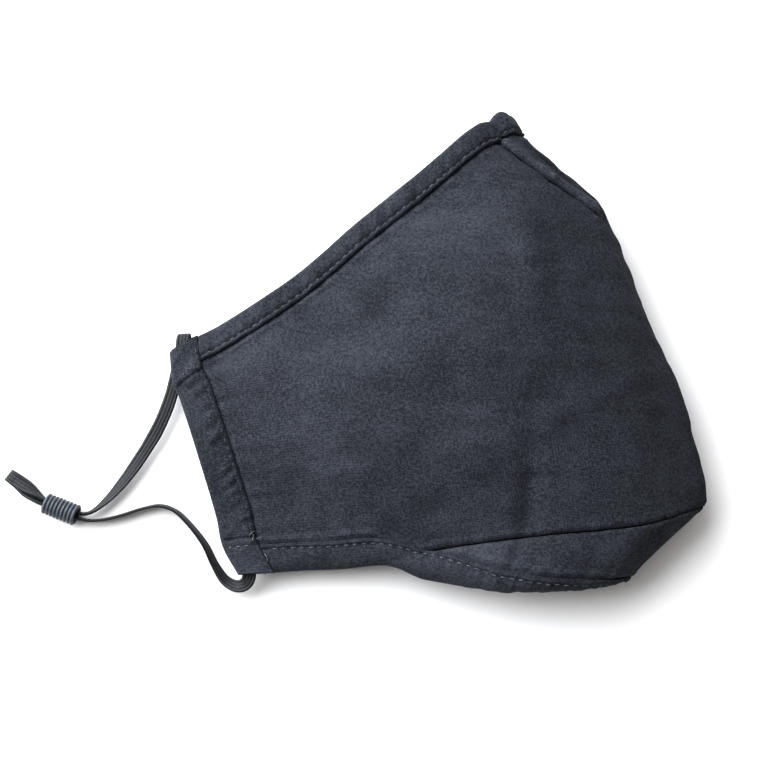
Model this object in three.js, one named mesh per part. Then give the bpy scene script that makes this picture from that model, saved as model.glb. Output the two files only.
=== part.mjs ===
// A reusable cloth face mask, folded in half down its middle and lying on one side.
//
// Millimetres. +X runs from the ear edges to the centre fold, +Y from the chin to the nose, +Z up.
// The origin is on the surface that the mask lies on, under the middle of the cloth's box.
//
// The cloth is one smooth middle surface. Two numbers place a point on it:
//   turn   1 at the upper ear edge, 0 on the centre fold, -1 at the lower ear edge
//   along  0 at the chin seam or hem, 1 at the top edge
// Every cloth piece is a wall or a folded strip set off from that surface by its own thickness.

import * as THREE from "three";

// ---------------------------------------------------------------- driving dimensions

const PANEL_WALL = 1.2; // outer cloth and its backing, stitched together
const LEAF_WALL = 1.0; // one leaf of a folded strip
const PIECE_GAP = 0.35; // air between neighbouring pieces

const BAND_WIDTH = 8.5; // folded strip seen along the top and bottom edges
const BAND_TURN_IN = 5.0; // how far the strip reaches in on the face side
const CASING_WIDTH = 10.4; // tunnel for the elastic, ear edge to stitch line
const CASING_GRIP = 3.0; // panel edge caught between the casing's leaves

const UPPER_EAR_Z = 8.1; // middle of the upper casing above the surface
const TABLE_PANEL_Z = PANEL_WALL / 2; // middle of a panel wall that lies flat on the surface
const STRIP_HALF = PANEL_WALL / 2 + PIECE_GAP + LEAF_WALL; // half of a folded strip's thickness
const LOWER_INSET = 2.4; // the lower half hides under the upper one by this much
const LOWER_INSET_FADE = 0.1; // share of the width in which that fades out before the fold
const STRIP_CLEAR = 1.0; // the lower panel's wall stays raised this far past a folded strip
const STRIP_RAMP = 9.0; // and comes down to the surface over this length

const CHIN_BULGE = 6; // pull on the middle of the chin panel, away from the face
const CURL_ACROSS = [0.42, 0.62]; // the upper hem curls under beyond this share across
const CURL_TURN = 0.12; // and up to this turn from the centre fold
const CURL_STARTS = 0.66; // share of the chin panel's height, from its seam, where the curl starts
const CURL_OUT = 3.0; // how far the chin panel stands out above the curl
const CURL_IN = 3.0; // how far the curled hem is drawn back
const CURL_DOWN = 0.8; // and down
const CHIN_BULGE_FULL = 20; // height of chin panel that shows the whole bulge
const CHIN_OUT = { x: 0.06, y: -0.08 }; // the way that the chin's centre fold faces
const CHIN_OPENS = { from: 0.24, full: 0.41 }; // shares of the width where the chin panel widens

const ROUND_SHARE = 0.3; // share of the turn of a half that is spent on its rounded fold
const ROUND_AT = 0.8; // where that stretch begins, as a share of the half's width
const LOWER_ROUND_AT = 0.86; // where the lower half meets the surface, as a share of its width

const BEND_STEPS = 4; // faces round the fold of a strip
const OUTER_LEAF_STEPS = 6; // and across each of its leaves
const INNER_LEAF_STEPS = 2;
const CASING_STEPS = 12;
const CHIN_ROWS = 14;
const CHIN_HALF_TURN = 0.68; // where the chin panel runs out under the bottom strip
const HEM_TUCK = 1.7; // panel edge held back inside a folded strip
const SEAM_GAP = 0.2; // half of the gap between the two panels
const EDGE_TURN = 0.7; // beyond this turn, mesh stations are drawn in to a piece's own edge
const TURN_STEP = 0.006; // how far the slopes of the cloth are measured, in turn
const HEIGHT_STEP = 1.2; // and in height

const ELASTIC_WIDTH = 4.2;
const ELASTIC_THICK = 0.9;
const PINCHED_WIDTH = 2.8; // the same ribbon, squeezed in a lock
const PINCHED_THICK = 1.1;
const LOCK_LENGTH = 10.8;
const LOCK_RADIUS = 3.4;
const LOCK_BORE_RADIUS = 2.35;
const LOCK_RIBS = 9;
const LOCK_GROOVE = 0.45; // depth between two ribs
const LOCK_SIDES = 16;

// ---------------------------------------------------------------- tables

// The ear edge of the upper half, from the hem up.
const EAR_LINE = [
  { along: 0.0, x: -60.4, y: -71.3 },
  { along: 0.12, x: -65.4, y: -62.7 },
  { along: 0.25, x: -67.6, y: -53.5 },
  { along: 0.5, x: -73.2, y: -36.0 },
  { along: 0.78, x: -79.8, y: -16.5 },
  { along: 0.86, x: -82.2, y: -11.4 },
  { along: 1.0, x: -83.4, y: -1.8 },
];

// The centre fold, from the chin tip to the bridge of the nose.
const FOLD_LINE = [
  { along: 0.0, x: 82.6, y: -50.6, z: 14 },
  { along: 0.05, x: 82.7, y: -44.0, z: 14.5 },
  { along: 0.17, x: 78.9, y: -27.1, z: 15 },
  { along: 0.26, x: 76.1, y: -14.6, z: 15 },
  { along: 0.42, x: 67.6, y: 6.1, z: 15 },
  { along: 0.55, x: 61.8, y: 23.9, z: 15 },
  { along: 0.66, x: 55.8, y: 38.6, z: 15 },
  { along: 0.73, x: 51.0, y: 47.0, z: 15 },
  { along: 0.84, x: 39.5, y: 58.0, z: 15 },
  { along: 0.91, x: 31.5, y: 64.8, z: 15 },
  { along: 0.94, x: 28.2, y: 68.0, z: 15 },
  { along: 1.0, x: 24.9, y: 75.2, z: 15 },
];

// The top edge, from the ear corner to the nose.
const TOP_EDGE = [
  { across: 0.0, x: -83.4, y: -1.8 },
  { across: 0.06, x: -76.7, y: 2.3 },
  { across: 0.14, x: -67.2, y: 6.7 },
  { across: 0.33, x: -45.0, y: 20.4 },
  { across: 0.54, x: -23.0, y: 38.7 },
  { across: 0.78, x: 2.3, y: 60.0 },
  { across: 0.91, x: 15.2, y: 71.0 },
  { across: 1.0, x: 24.9, y: 75.2 },
];

// The panel's lower edge: hem near the ear, then the chin seam out to the chin tip. hemX and hemY
// are the mask's own edge below it, which leaves the seam where the chin panel begins.
const LOWER_EDGE = [
  { across: 0.0, x: -60.4, y: -71.3, hemX: -60.4, hemY: -71.3 },
  { across: 0.13, x: -41.3, y: -70.1, hemX: -41.3, hemY: -70.1 },
  { across: 0.24, x: -25.9, y: -69.4, hemX: -25.9, hemY: -69.4 },
  { across: 0.33, x: -12.5, y: -67.2, hemX: -13.6, hemY: -70.2 },
  { across: 0.41, x: -1.4, y: -64.4, hemX: -3.0, hemY: -72.6 },
  { across: 0.55, x: 19.0, y: -61.5, hemX: 14.0, hemY: -75.6 },
  { across: 0.68, x: 37.3, y: -59.6, hemX: 27.0, hemY: -76.2 },
  { across: 0.77, x: 49.9, y: -58.6, hemX: 36.0, hemY: -76.1 },
  { across: 0.87, x: 64.5, y: -56.6, hemX: 45.5, hemY: -75.3 },
  { across: 1.0, x: 82.6, y: -50.6, hemX: 54.0, hemY: -73.6 },
];

// Upper half, section by section: the crest's place and height, and how late the flank rises to it.
const SECTIONS = [
  { along: 0.0, crestAt: 0.8, crestZ: 24.0, flank: 2.7 },
  { along: 0.25, crestAt: 0.67, crestZ: 30.0, flank: 2.0 },
  { along: 0.5, crestAt: 0.64, crestZ: 32.0, flank: 1.6 },
  { along: 0.75, crestAt: 0.67, crestZ: 27.5, flank: 1.3 },
  { along: 0.92, crestAt: 0.82, crestZ: 21.5, flank: 1.1 },
  { along: 1.0, crestAt: 0.9, crestZ: 20.5, flank: 1.0 },
];
const HEM_SECTION = { crestAt: 0.84, crestZ: 16.0, flank: 1.8, foldZ: 9.2 };

// Ridges (up) and creases (down) in the upper half, each along a line seen from above.
const DENTS = [
  { name: "nose dart ridge", x1: 23.5, y1: 64.5, x2: 54.0, y2: 41.5, lift: 0.9, width: 1.6 },
  { name: "nose dart groove", x1: 21.5, y1: 62.0, x2: 51.5, y2: 39.5, lift: -0.9, width: 1.6 },
  { name: "chin crease", x1: 28, y1: -40, x2: 25, y2: -62, lift: -1.6, width: 4.5 },
  { name: "cheek crease", x1: 27, y1: 42, x2: 30, y2: 2, lift: -0.9, width: 7 },
  { name: "cheek roll", x1: -34, y1: 6, x2: 26, y2: -34, lift: 1.2, width: 12 },
  { name: "hem hollow", x1: -36, y1: -50, x2: 6, y2: -50, lift: -1.2, width: 9 },
];

// Each elastic is a closed loop of flat ribbon. It lies along its casing, turns over the casing's top
// end, runs through the lock, folds back at the tail, returns through the lock and goes in again at
// the casing's lower end. heading is the way the ribbon's width points, in degrees seen from above,
// and tilt stands the width on edge. pinch is 1 where the lock squeezes the ribbon.
const LEFT_ELASTIC = [
  { x: -74.1, y: -20.4, z: 8.75, heading: 17, tilt: 3, pinch: 0 },
  { x: -76.8, y: -13.4, z: 8.9, heading: 19, tilt: 3, pinch: 0 },
  { x: -79.0, y: -6.6, z: 8.85, heading: 13, tilt: 2, pinch: 0 },
  { x: -79.4, y: 0.3, z: 9.0, heading: 7, tilt: 0, pinch: 0 },
  { x: -79.3, y: 3.3, z: 8.75, heading: 5, tilt: 0, pinch: 0 },
  { x: -79.2, y: 4.7, z: 7.1, heading: 4, tilt: 0, pinch: 0 },
  { x: -79.2, y: 3.6, z: 5.6, heading: 0, tilt: 0, pinch: 0 },
  { x: -80.4, y: -1.2, z: 5.1, heading: -6, tilt: 0, pinch: 0 },
  { x: -81.8, y: -9.0, z: 5.0, heading: -11, tilt: 0, pinch: 0 },
  { x: -84.2, y: -18.0, z: 4.8, heading: -19, tilt: 0, pinch: 0 },
  { x: -87.6, y: -26.0, z: 4.3, heading: -26, tilt: 0, pinch: 0 },
  { x: -92.7, y: -34.6, z: 3.6, heading: -33, tilt: 10, pinch: 0 },
  { x: -98.4, y: -42.6, z: 3.0, heading: -40, tilt: 30, pinch: 0 },
  { x: -103.8, y: -48.6, z: 2.9, heading: -52, tilt: 52, pinch: 0.2 },
  { x: -108.2, y: -51.8, z: 3.2, heading: -80, tilt: 75, pinch: 0.7 },
  { x: -111.7, y: -52.0, z: 3.5, heading: -110, tilt: 90, pinch: 1 },
  { x: -121.7, y: -48.1, z: 3.5, heading: -110, tilt: 90, pinch: 1 },
  { x: -124.8, y: -45.9, z: 3.2, heading: -118, tilt: 62, pinch: 0.4 },
  { x: -128.3, y: -43.5, z: 2.6, heading: -125, tilt: 28, pinch: 0 },
  { x: -131.6, y: -41.5, z: 2.3, heading: -125, tilt: 4, pinch: 0 },
  { x: -133.8, y: -40.1, z: 2.05, heading: -125, tilt: 0, pinch: 0 },
  { x: -134.5, y: -39.7, z: 1.35, heading: -125, tilt: 0, pinch: 0 },
  { x: -133.8, y: -40.3, z: 0.7, heading: -125, tilt: 0, pinch: 0 },
  { x: -131.6, y: -42.0, z: 0.65, heading: -125, tilt: 4, pinch: 0 },
  { x: -128.5, y: -44.9, z: 1.5, heading: -125, tilt: 28, pinch: 0 },
  { x: -125.3, y: -47.6, z: 2.8, heading: -118, tilt: 62, pinch: 0.4 },
  { x: -122.3, y: -49.4, z: 3.5, heading: -110, tilt: 90, pinch: 1 },
  { x: -112.3, y: -53.3, z: 3.5, heading: -110, tilt: 90, pinch: 1 },
  { x: -108.4, y: -54.2, z: 3.1, heading: -95, tilt: 84, pinch: 0.6 },
  { x: -103.8, y: -53.9, z: 2.7, heading: -82, tilt: 80, pinch: 0.1 },
  { x: -98.4, y: -52.6, z: 2.5, heading: -77, tilt: 78, pinch: 0 },
  { x: -92.2, y: -50.6, z: 2.5, heading: -75, tilt: 78, pinch: 0 },
  { x: -86.3, y: -49.5, z: 2.5, heading: -92, tilt: 78, pinch: 0 },
  { x: -81.3, y: -51.1, z: 2.5, heading: -120, tilt: 78, pinch: 0 },
  { x: -76.6, y: -55.4, z: 2.5, heading: -142, tilt: 76, pinch: 0 },
  { x: -71.6, y: -61.7, z: 2.5, heading: -149, tilt: 70, pinch: 0 },
  { x: -68.3, y: -68.0, z: 2.7, heading: -147, tilt: 60, pinch: 0 },
  { x: -64.8, y: -72.8, z: 3.7, heading: -122, tilt: 48, pinch: 0 },
  { x: -61.1, y: -74.6, z: 5.4, heading: -84, tilt: 34, pinch: 0 },
  { x: -58.2, y: -73.9, z: 7.2, heading: -38, tilt: 12, pinch: 0 },
  { x: -57.0, y: -71.4, z: 8.1, heading: 2, tilt: 0, pinch: 0 },
  { x: -59.0, y: -66.9, z: 8.1, heading: 28, tilt: 0, pinch: 0 },
  { x: -61.5, y: -61.4, z: 8.15, heading: 21, tilt: 0, pinch: 0 },
  { x: -64.6, y: -49.2, z: 8.3, heading: 16, tilt: 0, pinch: 0 },
  { x: -69.3, y: -34.8, z: 8.5, heading: 18, tilt: 2, pinch: 0 },
];

// The lower half's elastic is tucked into the hollow and lies on the inside of the lower cloth.
const RIGHT_ELASTIC = [
  { x: -71.8, y: -21.3, z: 1.95, heading: 18, tilt: 0, pinch: 0 },
  { x: -74.4, y: -15.0, z: 1.95, heading: 20, tilt: 0, pinch: 0 },
  { x: -76.7, y: -9.0, z: 1.95, heading: 15, tilt: 0, pinch: 0 },
  { x: -77.5, y: -2.4, z: 1.95, heading: 3, tilt: 0, pinch: 0 },
  { x: -77.0, y: 0.3, z: 2.2, heading: 3, tilt: 0, pinch: 0 },
  { x: -76.1, y: 1.6, z: 3.4, heading: 8, tilt: 0, pinch: 0 },
  { x: -75.1, y: 0.3, z: 4.7, heading: 14, tilt: 0, pinch: 0 },
  { x: -73.0, y: -4.4, z: 5.0, heading: 24, tilt: 0, pinch: 0 },
  { x: -68.2, y: -10.6, z: 5.0, heading: 42, tilt: 0, pinch: 0 },
  { x: -61.6, y: -15.2, z: 4.4, heading: 60, tilt: 0, pinch: 0 },
  { x: -53.2, y: -17.8, z: 3.0, heading: 76, tilt: 0, pinch: 0 },
  { x: -43.4, y: -20.0, z: 2.3, heading: 72, tilt: 4, pinch: 0 },
  { x: -31.5, y: -24.4, z: 2.2, heading: 58, tilt: 8, pinch: 0 },
  { x: -20.6, y: -30.6, z: 2.5, heading: 56, tilt: 28, pinch: 0 },
  { x: -13.2, y: -34.4, z: 3.7, heading: 62, tilt: 62, pinch: 0.6 },
  { x: -8.5, y: -36.3, z: 4.8, heading: 90, tilt: 90, pinch: 1 },
  { x: 2.5, y: -36.3, z: 4.8, heading: 90, tilt: 90, pinch: 1 },
  { x: 6.2, y: -36.0, z: 4.5, heading: 90, tilt: 62, pinch: 0.4 },
  { x: 10.1, y: -36.1, z: 3.9, heading: 90, tilt: 28, pinch: 0 },
  { x: 13.9, y: -36.7, z: 3.5, heading: 90, tilt: 4, pinch: 0 },
  { x: 16.3, y: -36.9, z: 3.3, heading: 90, tilt: 0, pinch: 0 },
  { x: 17.0, y: -37.0, z: 2.6, heading: 90, tilt: 0, pinch: 0 },
  { x: 16.3, y: -37.1, z: 1.95, heading: 90, tilt: 0, pinch: 0 },
  { x: 13.9, y: -37.3, z: 1.9, heading: 90, tilt: 4, pinch: 0 },
  { x: 10.1, y: -38.0, z: 2.8, heading: 90, tilt: 28, pinch: 0 },
  { x: 6.2, y: -38.1, z: 4.1, heading: 90, tilt: 62, pinch: 0.4 },
  { x: 2.5, y: -37.7, z: 4.8, heading: 90, tilt: 90, pinch: 1 },
  { x: -8.5, y: -37.7, z: 4.8, heading: 90, tilt: 90, pinch: 1 },
  { x: -12.8, y: -38.9, z: 3.8, heading: 112, tilt: 62, pinch: 0.6 },
  { x: -20.4, y: -41.6, z: 2.6, heading: 118, tilt: 25, pinch: 0 },
  { x: -30.1, y: -44.8, z: 2.2, heading: 112, tilt: 6, pinch: 0 },
  { x: -40.6, y: -47.8, z: 2.3, heading: 116, tilt: 2, pinch: 0 },
  { x: -47.4, y: -52.6, z: 3.7, heading: 134, tilt: 0, pinch: 0 },
  { x: -51.4, y: -59.0, z: 5.0, heading: 158, tilt: 0, pinch: 0 },
  { x: -53.5, y: -66.4, z: 5.0, heading: 174, tilt: 0, pinch: 0 },
  { x: -53.9, y: -69.3, z: 4.8, heading: 179, tilt: 0, pinch: 0 },
  { x: -54.0, y: -70.4, z: 3.45, heading: 180, tilt: 0, pinch: 0 },
  { x: -54.1, y: -69.3, z: 2.1, heading: 180, tilt: 0, pinch: 0 },
  { x: -55.2, y: -66.6, z: 1.95, heading: 200, tilt: 0, pinch: 0 },
  { x: -58.2, y: -61.4, z: 1.95, heading: 207, tilt: 0, pinch: 0 },
  { x: -60.3, y: -54.8, z: 1.95, heading: 198, tilt: 0, pinch: 0 },
  { x: -64.6, y: -41.7, z: 1.95, heading: 198, tilt: 0, pinch: 0 },
  { x: -68.2, y: -31.2, z: 1.95, heading: 198, tilt: 0, pinch: 0 },
];

// The middle of each lock, and the way its axis points, in degrees seen from above.
const LEFT_LOCK = { x: -117.0, y: -50.7, z: 3.5, axis: 158.7 };
const RIGHT_LOCK = { x: -3.0, y: -37.0, z: 4.8, axis: 0 };

// Stations of the panel's mesh: close together on the fold and near the edges.
const HALF_TURNS = [0.05, 0.1, 0.16, 0.23, 0.3, 0.37, 0.44, 0.51, 0.57, 0.62, 0.65, 0.68, 0.73, 0.81, 0.88, 0.94, 0.975, 1];
const STATIONS = [...HALF_TURNS.map((t) => -t).reverse(), 0, ...HALF_TURNS];
const PANEL_HEIGHTS = [
  0, 0.025, 0.06, 0.11, 0.18, 0.26, 0.34, 0.42, 0.5, 0.58, 0.66, 0.74, 0.81, 0.87, 0.92, 0.955, 0.98, 1,
];

// ---------------------------------------------------------------- small helpers

const clampTo = (t, low, high) => Math.min(high, Math.max(low, t));
const clamp01 = (t) => clampTo(t, 0, 1);
const mix = (a, b, t) => a + (b - a) * t;

function smooth(low, high, value) {
  const t = clamp01((value - low) / (high - low));
  return t * t * (3 - 2 * t);
}

// Reads a table's columns between its rows, as a smooth curve through every row.
function readTable(rows, key) {
  const columns = Object.keys(rows[0]).filter((name) => name !== key);
  const last = rows.length - 1;
  const slope = (i, name) => {
    const a = rows[Math.max(i - 1, 0)];
    const b = rows[Math.min(i + 1, last)];
    return (b[name] - a[name]) / (b[key] - a[key]);
  };
  return (value) => {
    const at = Math.min(rows[last][key], Math.max(rows[0][key], value));
    const next = Math.max(1, rows.findIndex((row) => row[key] >= at));
    const a = rows[next - 1];
    const b = rows[next];
    const span = b[key] - a[key];
    const t = (at - a[key]) / span;
    const found = {};
    for (const name of columns) {
      found[name] =
        a[name] * (1 + 2 * t) * (1 - t) ** 2 +
        b[name] * (3 - 2 * t) * t ** 2 +
        slope(next - 1, name) * span * t * (1 - t) ** 2 -
        slope(next, name) * span * (1 - t) * t ** 2;
    }
    return found;
  };
}

const earLine = readTable(EAR_LINE, "along");
const foldLine = readTable(FOLD_LINE, "along");
const topEdge = readTable(TOP_EDGE, "across");
const lowerEdge = readTable(LOWER_EDGE, "across");
const sectionAt = readTable(SECTIONS, "along");

// ---------------------------------------------------------------- the middle surface of the cloth

// The upper half seen from above: a patch that fills the loop of ear, fold, top and lower edges.
function planPoint(across, along) {
  const ear = earLine(along);
  const fold = foldLine(along);
  const top = topEdge(across);
  const low = lowerEdge(across);
  const corner = (name) =>
    (1 - across) * mix(earLine(0)[name], earLine(1)[name], along) +
    across * mix(foldLine(0)[name], foldLine(1)[name], along);
  const blend = (name) =>
    mix(ear[name], fold[name], across) + mix(low[name], top[name], along) - corner(name);
  return new THREE.Vector3(blend("x"), blend("y"), 0);
}

const rowLength = (along) => planPoint(0, along).distanceTo(planPoint(1, along));
const panelHeight = (across) => planPoint(across, 0).distanceTo(planPoint(across, 1));

// How far across a half a turn is: stations crowd together on the rounded fold.
function acrossAt(turn) {
  const side = Math.abs(turn);
  if (side > ROUND_SHARE) return (ROUND_AT * (1 - side)) / (1 - ROUND_SHARE);
  return mix(ROUND_AT, 1, Math.cos(((side / ROUND_SHARE) * Math.PI) / 2));
}

// The turn that is a given share of the way from an ear edge to the fold; half is 1 or -1.
const turnAt = (across, half) => half * (1 - (across / ROUND_AT) * (1 - ROUND_SHARE));

// Height of a section: a quarter ellipse from the fold up to the crest, or down to the surface,
// then a flank that falls to the ear edge.
function sectionHeight(turn, shape, foldZ) {
  const across = acrossAt(turn);
  const upper = turn >= 0;
  const crestAt = upper ? shape.crestAt : LOWER_ROUND_AT;
  const crestZ = upper ? shape.crestZ : TABLE_PANEL_Z;
  if (across > crestAt) {
    const out = (across - crestAt) / (1 - crestAt);
    return mix(foldZ, crestZ, Math.sqrt(1 - out * out));
  }
  const toCrest = across / crestAt;
  const rise = toCrest ** shape.flank * (1 + shape.flank * (1 - toCrest));
  return upper ? mix(UPPER_EAR_Z, crestZ, rise) : crestZ;
}

// How far the chin panel has opened between seam and hem: 0 near the ears, 1 at the chin.
const chinShare = (across) => smooth(CHIN_OPENS.from, CHIN_OPENS.full, across);

// The lower half is drawn in from the outline, except near the fold that it shares.
function drawIn(point, across, along) {
  const share = LOWER_INSET * smooth(1, LOWER_ROUND_AT - LOWER_INSET_FADE, across);
  point.x += share * (1 - across);
  point.y += share * (smooth(0.5, 0, along) - smooth(0.5, 1, along));
}

// On the lower half the folded strips lie under the panel, so its wall rises to pass over them.
function stripLift(across, along) {
  const rest = (distance, width) =>
    smooth(width + STRIP_CLEAR, width + STRIP_CLEAR + STRIP_RAMP, distance);
  const height = panelHeight(across);
  const edge = lowerEdge(across);
  const chin = Math.hypot(edge.x - edge.hemX, edge.y - edge.hemY);
  const overHem = rest(chin + along * height, BAND_WIDTH);
  const overTop = rest((1 - along) * height, BAND_WIDTH);
  const overCasing = rest(across * rowLength(along), CASING_WIDTH);
  return (STRIP_HALF - TABLE_PANEL_Z) * (1 - overHem * overTop * overCasing);
}

// Height that the creases and rolls of the upper half add at a place seen from above.
function dentHeight(point) {
  let total = 0;
  for (const dent of DENTS) {
    const run = new THREE.Vector2(dent.x2 - dent.x1, dent.y2 - dent.y1);
    const from = new THREE.Vector2(point.x - dent.x1, point.y - dent.y1);
    const share = clamp01(from.dot(run) / run.lengthSq());
    const gap = from.addScaledVector(run, -share).length();
    total += dent.lift * Math.exp(-((gap / dent.width) ** 2));
  }
  return total;
}

function panelPoint(turn, along) {
  const across = acrossAt(turn);
  const point = planPoint(across, along);
  point.z = sectionHeight(turn, sectionAt(along), foldLine(along).z);
  const settled = smooth(0, ROUND_SHARE, Math.abs(turn));
  if (turn < 0) {
    drawIn(point, across, along);
    point.z += stripLift(across, along) * settled;
  } else {
    point.z += dentHeight(point) * settled;
  }
  return point;
}

function hemPoint(turn) {
  const across = acrossAt(turn);
  const edge = lowerEdge(across);
  const height = sectionHeight(turn, HEM_SECTION, HEM_SECTION.foldZ);
  const hem = new THREE.Vector3(edge.hemX, edge.hemY, height);
  if (turn < 0) {
    drawIn(hem, across, 0);
    hem.z += (STRIP_HALF - TABLE_PANEL_Z) * smooth(0, ROUND_SHARE, -turn);
  }
  return panelPoint(turn, 0).lerp(hem, chinShare(across));
}

const chinHeight = (turn) => panelPoint(turn, 0).distanceTo(hemPoint(turn));

// The chin panel is a curve from seam to hem that bulges away from the face.
function chinPoint(turn, down) {
  const seam = panelPoint(turn, 0);
  const hem = hemPoint(turn);
  const angle = (clamp01(Math.abs(turn) / ROUND_SHARE) * Math.PI) / 2;
  const bulge = CHIN_BULGE * clamp01(chinHeight(turn) / CHIN_BULGE_FULL);
  const control = seam.clone().lerp(hem, 0.5);
  control.x += CHIN_OUT.x * bulge * Math.cos(angle);
  control.y += CHIN_OUT.y * bulge * Math.cos(angle);
  control.z += turn > 0 ? bulge * Math.sin(angle) : 0;
  const point = new THREE.QuadraticBezierCurve3(seam, control, hem).getPoint(down);
  const curled = smooth(...CURL_ACROSS, acrossAt(turn)) * smooth(0, CURL_TURN, turn);
  const under = smooth(CURL_STARTS, 1, down);
  point.y += curled * (CURL_IN * under - CURL_OUT * Math.sin(Math.PI * down ** 2));
  point.z -= curled * CURL_DOWN * under;
  return point;
}

const frontHeight = (turn) => panelPoint(turn, 0).distanceTo(panelPoint(turn, 1));

// The whole cloth: turn as above, and the distance up from the hem in millimetres.
function clothPoint(turn, distance) {
  const chin = chinHeight(turn);
  if (distance < chin) return chinPoint(turn, 1 - distance / chin);
  return panelPoint(turn, (distance - chin) / frontHeight(turn));
}

const clothReach = (turn) => chinHeight(turn) + frontHeight(turn);

// A point set off from the middle surface, outwards if off is positive. What would go below the
// surface that the mask lies on is pressed flat on it.
function setOff(turn, distance, off) {
  const reach = clothReach(turn);
  const at = (t, d) => clothPoint(clampTo(t, -1, 1), clampTo(d, 0, reach));
  const sideways = at(turn + TURN_STEP, distance).sub(at(turn - TURN_STEP, distance));
  const upwards = at(turn, distance + HEIGHT_STEP).sub(at(turn, distance - HEIGHT_STEP));
  const normal = upwards.cross(sideways).normalize();
  const point = at(turn, distance).addScaledVector(normal, off);
  point.z = Math.max(0, point.z);
  return point;
}

// ---------------------------------------------------------------- closed walls and strips

// A closed wall between two grids of points, outer[i][j] and inner[i][j]. Seen from outside, the
// outer grid's i runs to the left when its j runs up.
function wallGeometry(outer, inner) {
  const rows = outer.length;
  const columns = outer[0].length;
  const points = [...outer.flat(), ...inner.flat()];
  const out = (i, j) => i * columns + j;
  const inn = (i, j) => rows * columns + out(i, j);
  const faces = [];
  const quad = (a, b, c, d) => faces.push(a, b, c, a, c, d);
  for (let i = 0; i < rows - 1; i++) {
    for (let j = 0; j < columns - 1; j++) {
      quad(out(i, j), out(i, j + 1), out(i + 1, j + 1), out(i + 1, j));
      quad(inn(i, j), inn(i + 1, j), inn(i + 1, j + 1), inn(i, j + 1));
    }
    quad(out(i, 0), out(i + 1, 0), inn(i + 1, 0), inn(i, 0));
    quad(out(i, columns - 1), inn(i, columns - 1), inn(i + 1, columns - 1), out(i + 1, columns - 1));
  }
  for (let j = 0; j < columns - 1; j++) {
    quad(out(0, j), inn(0, j), inn(0, j + 1), out(0, j + 1));
    quad(out(rows - 1, j), out(rows - 1, j + 1), inn(rows - 1, j + 1), inn(rows - 1, j));
  }
  const geometry = new THREE.BufferGeometry();
  geometry.setAttribute("position", new THREE.Float32BufferAttribute(points.flatMap((p) => p.toArray()), 3));
  geometry.setIndex(faces);
  return geometry;
}

const steps = (from, to, count) =>
  Array.from({ length: count + 1 }, (_, i) => mix(from, to, i / count));

// The profile of a strip folded over an edge, from the free edge of its outer leaf round to the
// free edge of its inner leaf. Each row is a distance from the fold and an offset, for both faces.
function foldedProfile(outerWidth, innerWidth) {
  const bend = STRIP_HALF;
  const hollow = STRIP_HALF - LEAF_WALL;
  const leaf = (distance, side) => ({
    outer: [distance, side * bend],
    inner: [distance, side * hollow],
  });
  const round = steps(90, -90, BEND_STEPS).map((degrees) => {
    const angle = THREE.MathUtils.degToRad(degrees);
    return {
      outer: [bend - bend * Math.cos(angle), bend * Math.sin(angle)],
      inner: [bend - hollow * Math.cos(angle), hollow * Math.sin(angle)],
    };
  });
  return [
    ...steps(outerWidth, bend, OUTER_LEAF_STEPS).slice(0, -1).map((distance) => leaf(distance, 1)),
    ...round,
    ...steps(bend, innerWidth, INNER_LEAF_STEPS).slice(1).map((distance) => leaf(distance, -1)),
  ];
}

// ---------------------------------------------------------------- cloth pieces

// The turn at which the cloth is a given distance from an ear edge; half is 1 or -1.
const turnFromEar = (distance, along, half) =>
  turnAt(distance / rowLength(along), half);

// The turn of a mesh station: the station's own number, drawn in so that the last one is at limit.
const stationTurn = (station, limit) =>
  station + (limit - Math.sign(station)) * smooth(EDGE_TURN, 1, Math.abs(station));

function frontPanel() {
  const fromEar = CASING_WIDTH - CASING_GRIP;
  const point = (station, up, off) => {
    const turn = stationTurn(station, turnFromEar(fromEar, up, Math.sign(station)));
    const low = Math.max(HEM_TUCK, chinHeight(turn) + SEAM_GAP);
    return setOff(turn, mix(low, clothReach(turn) - HEM_TUCK, up), off);
  };
  const grid = (off) =>
    STATIONS.map((station) => PANEL_HEIGHTS.map((up) => point(station, up, off)));
  return wallGeometry(grid(PANEL_WALL / 2), grid(-PANEL_WALL / 2));
}

function chinPanel() {
  const point = (turn, up, off) =>
    setOff(turn, mix(HEM_TUCK, chinHeight(turn) - SEAM_GAP, up), off);
  const turns = STATIONS.filter((station) => Math.abs(station) <= CHIN_HALF_TURN);
  const grid = (off) =>
    turns.map((turn) => steps(0, 1, CHIN_ROWS).map((up) => point(turn, up, off)));
  return wallGeometry(grid(PANEL_WALL / 2), grid(-PANEL_WALL / 2));
}

// A strip along the top edge or the hem, from one casing to the other.
function edgeBand(onTop) {
  const profile = foldedProfile(BAND_WIDTH, BAND_TURN_IN);
  if (!onTop) profile.reverse();
  const grid = (face) =>
    STATIONS.map((station) =>
      profile.map((row) => {
        const [distance, off] = row[face];
        const share = distance / clothReach(station);
        const along = onTop ? 1 - share : share;
        const turn = stationTurn(
          station,
          turnFromEar(CASING_WIDTH + PIECE_GAP, along, Math.sign(station)),
        );
        return setOff(turn, onTop ? clothReach(turn) - distance : distance, off);
      }),
    );
  return wallGeometry(grid("outer"), grid("inner"));
}

// The tunnel along an ear edge, folded over it; half is 1 for the upper ear and -1 for the lower.
function earCasing(half) {
  const profile = foldedProfile(CASING_WIDTH, CASING_WIDTH);
  if (half < 0) profile.reverse();
  const grid = (face) =>
    profile.map((row) => {
      const [distance, off] = row[face];
      return steps(0, 1, CASING_STEPS).map((along) => {
        const turn = turnFromEar(distance, along, half);
        return setOff(turn, along * clothReach(turn), off);
      });
    });
  return wallGeometry(grid("outer"), grid("inner"));
}

// ---------------------------------------------------------------- elastics and locks

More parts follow.
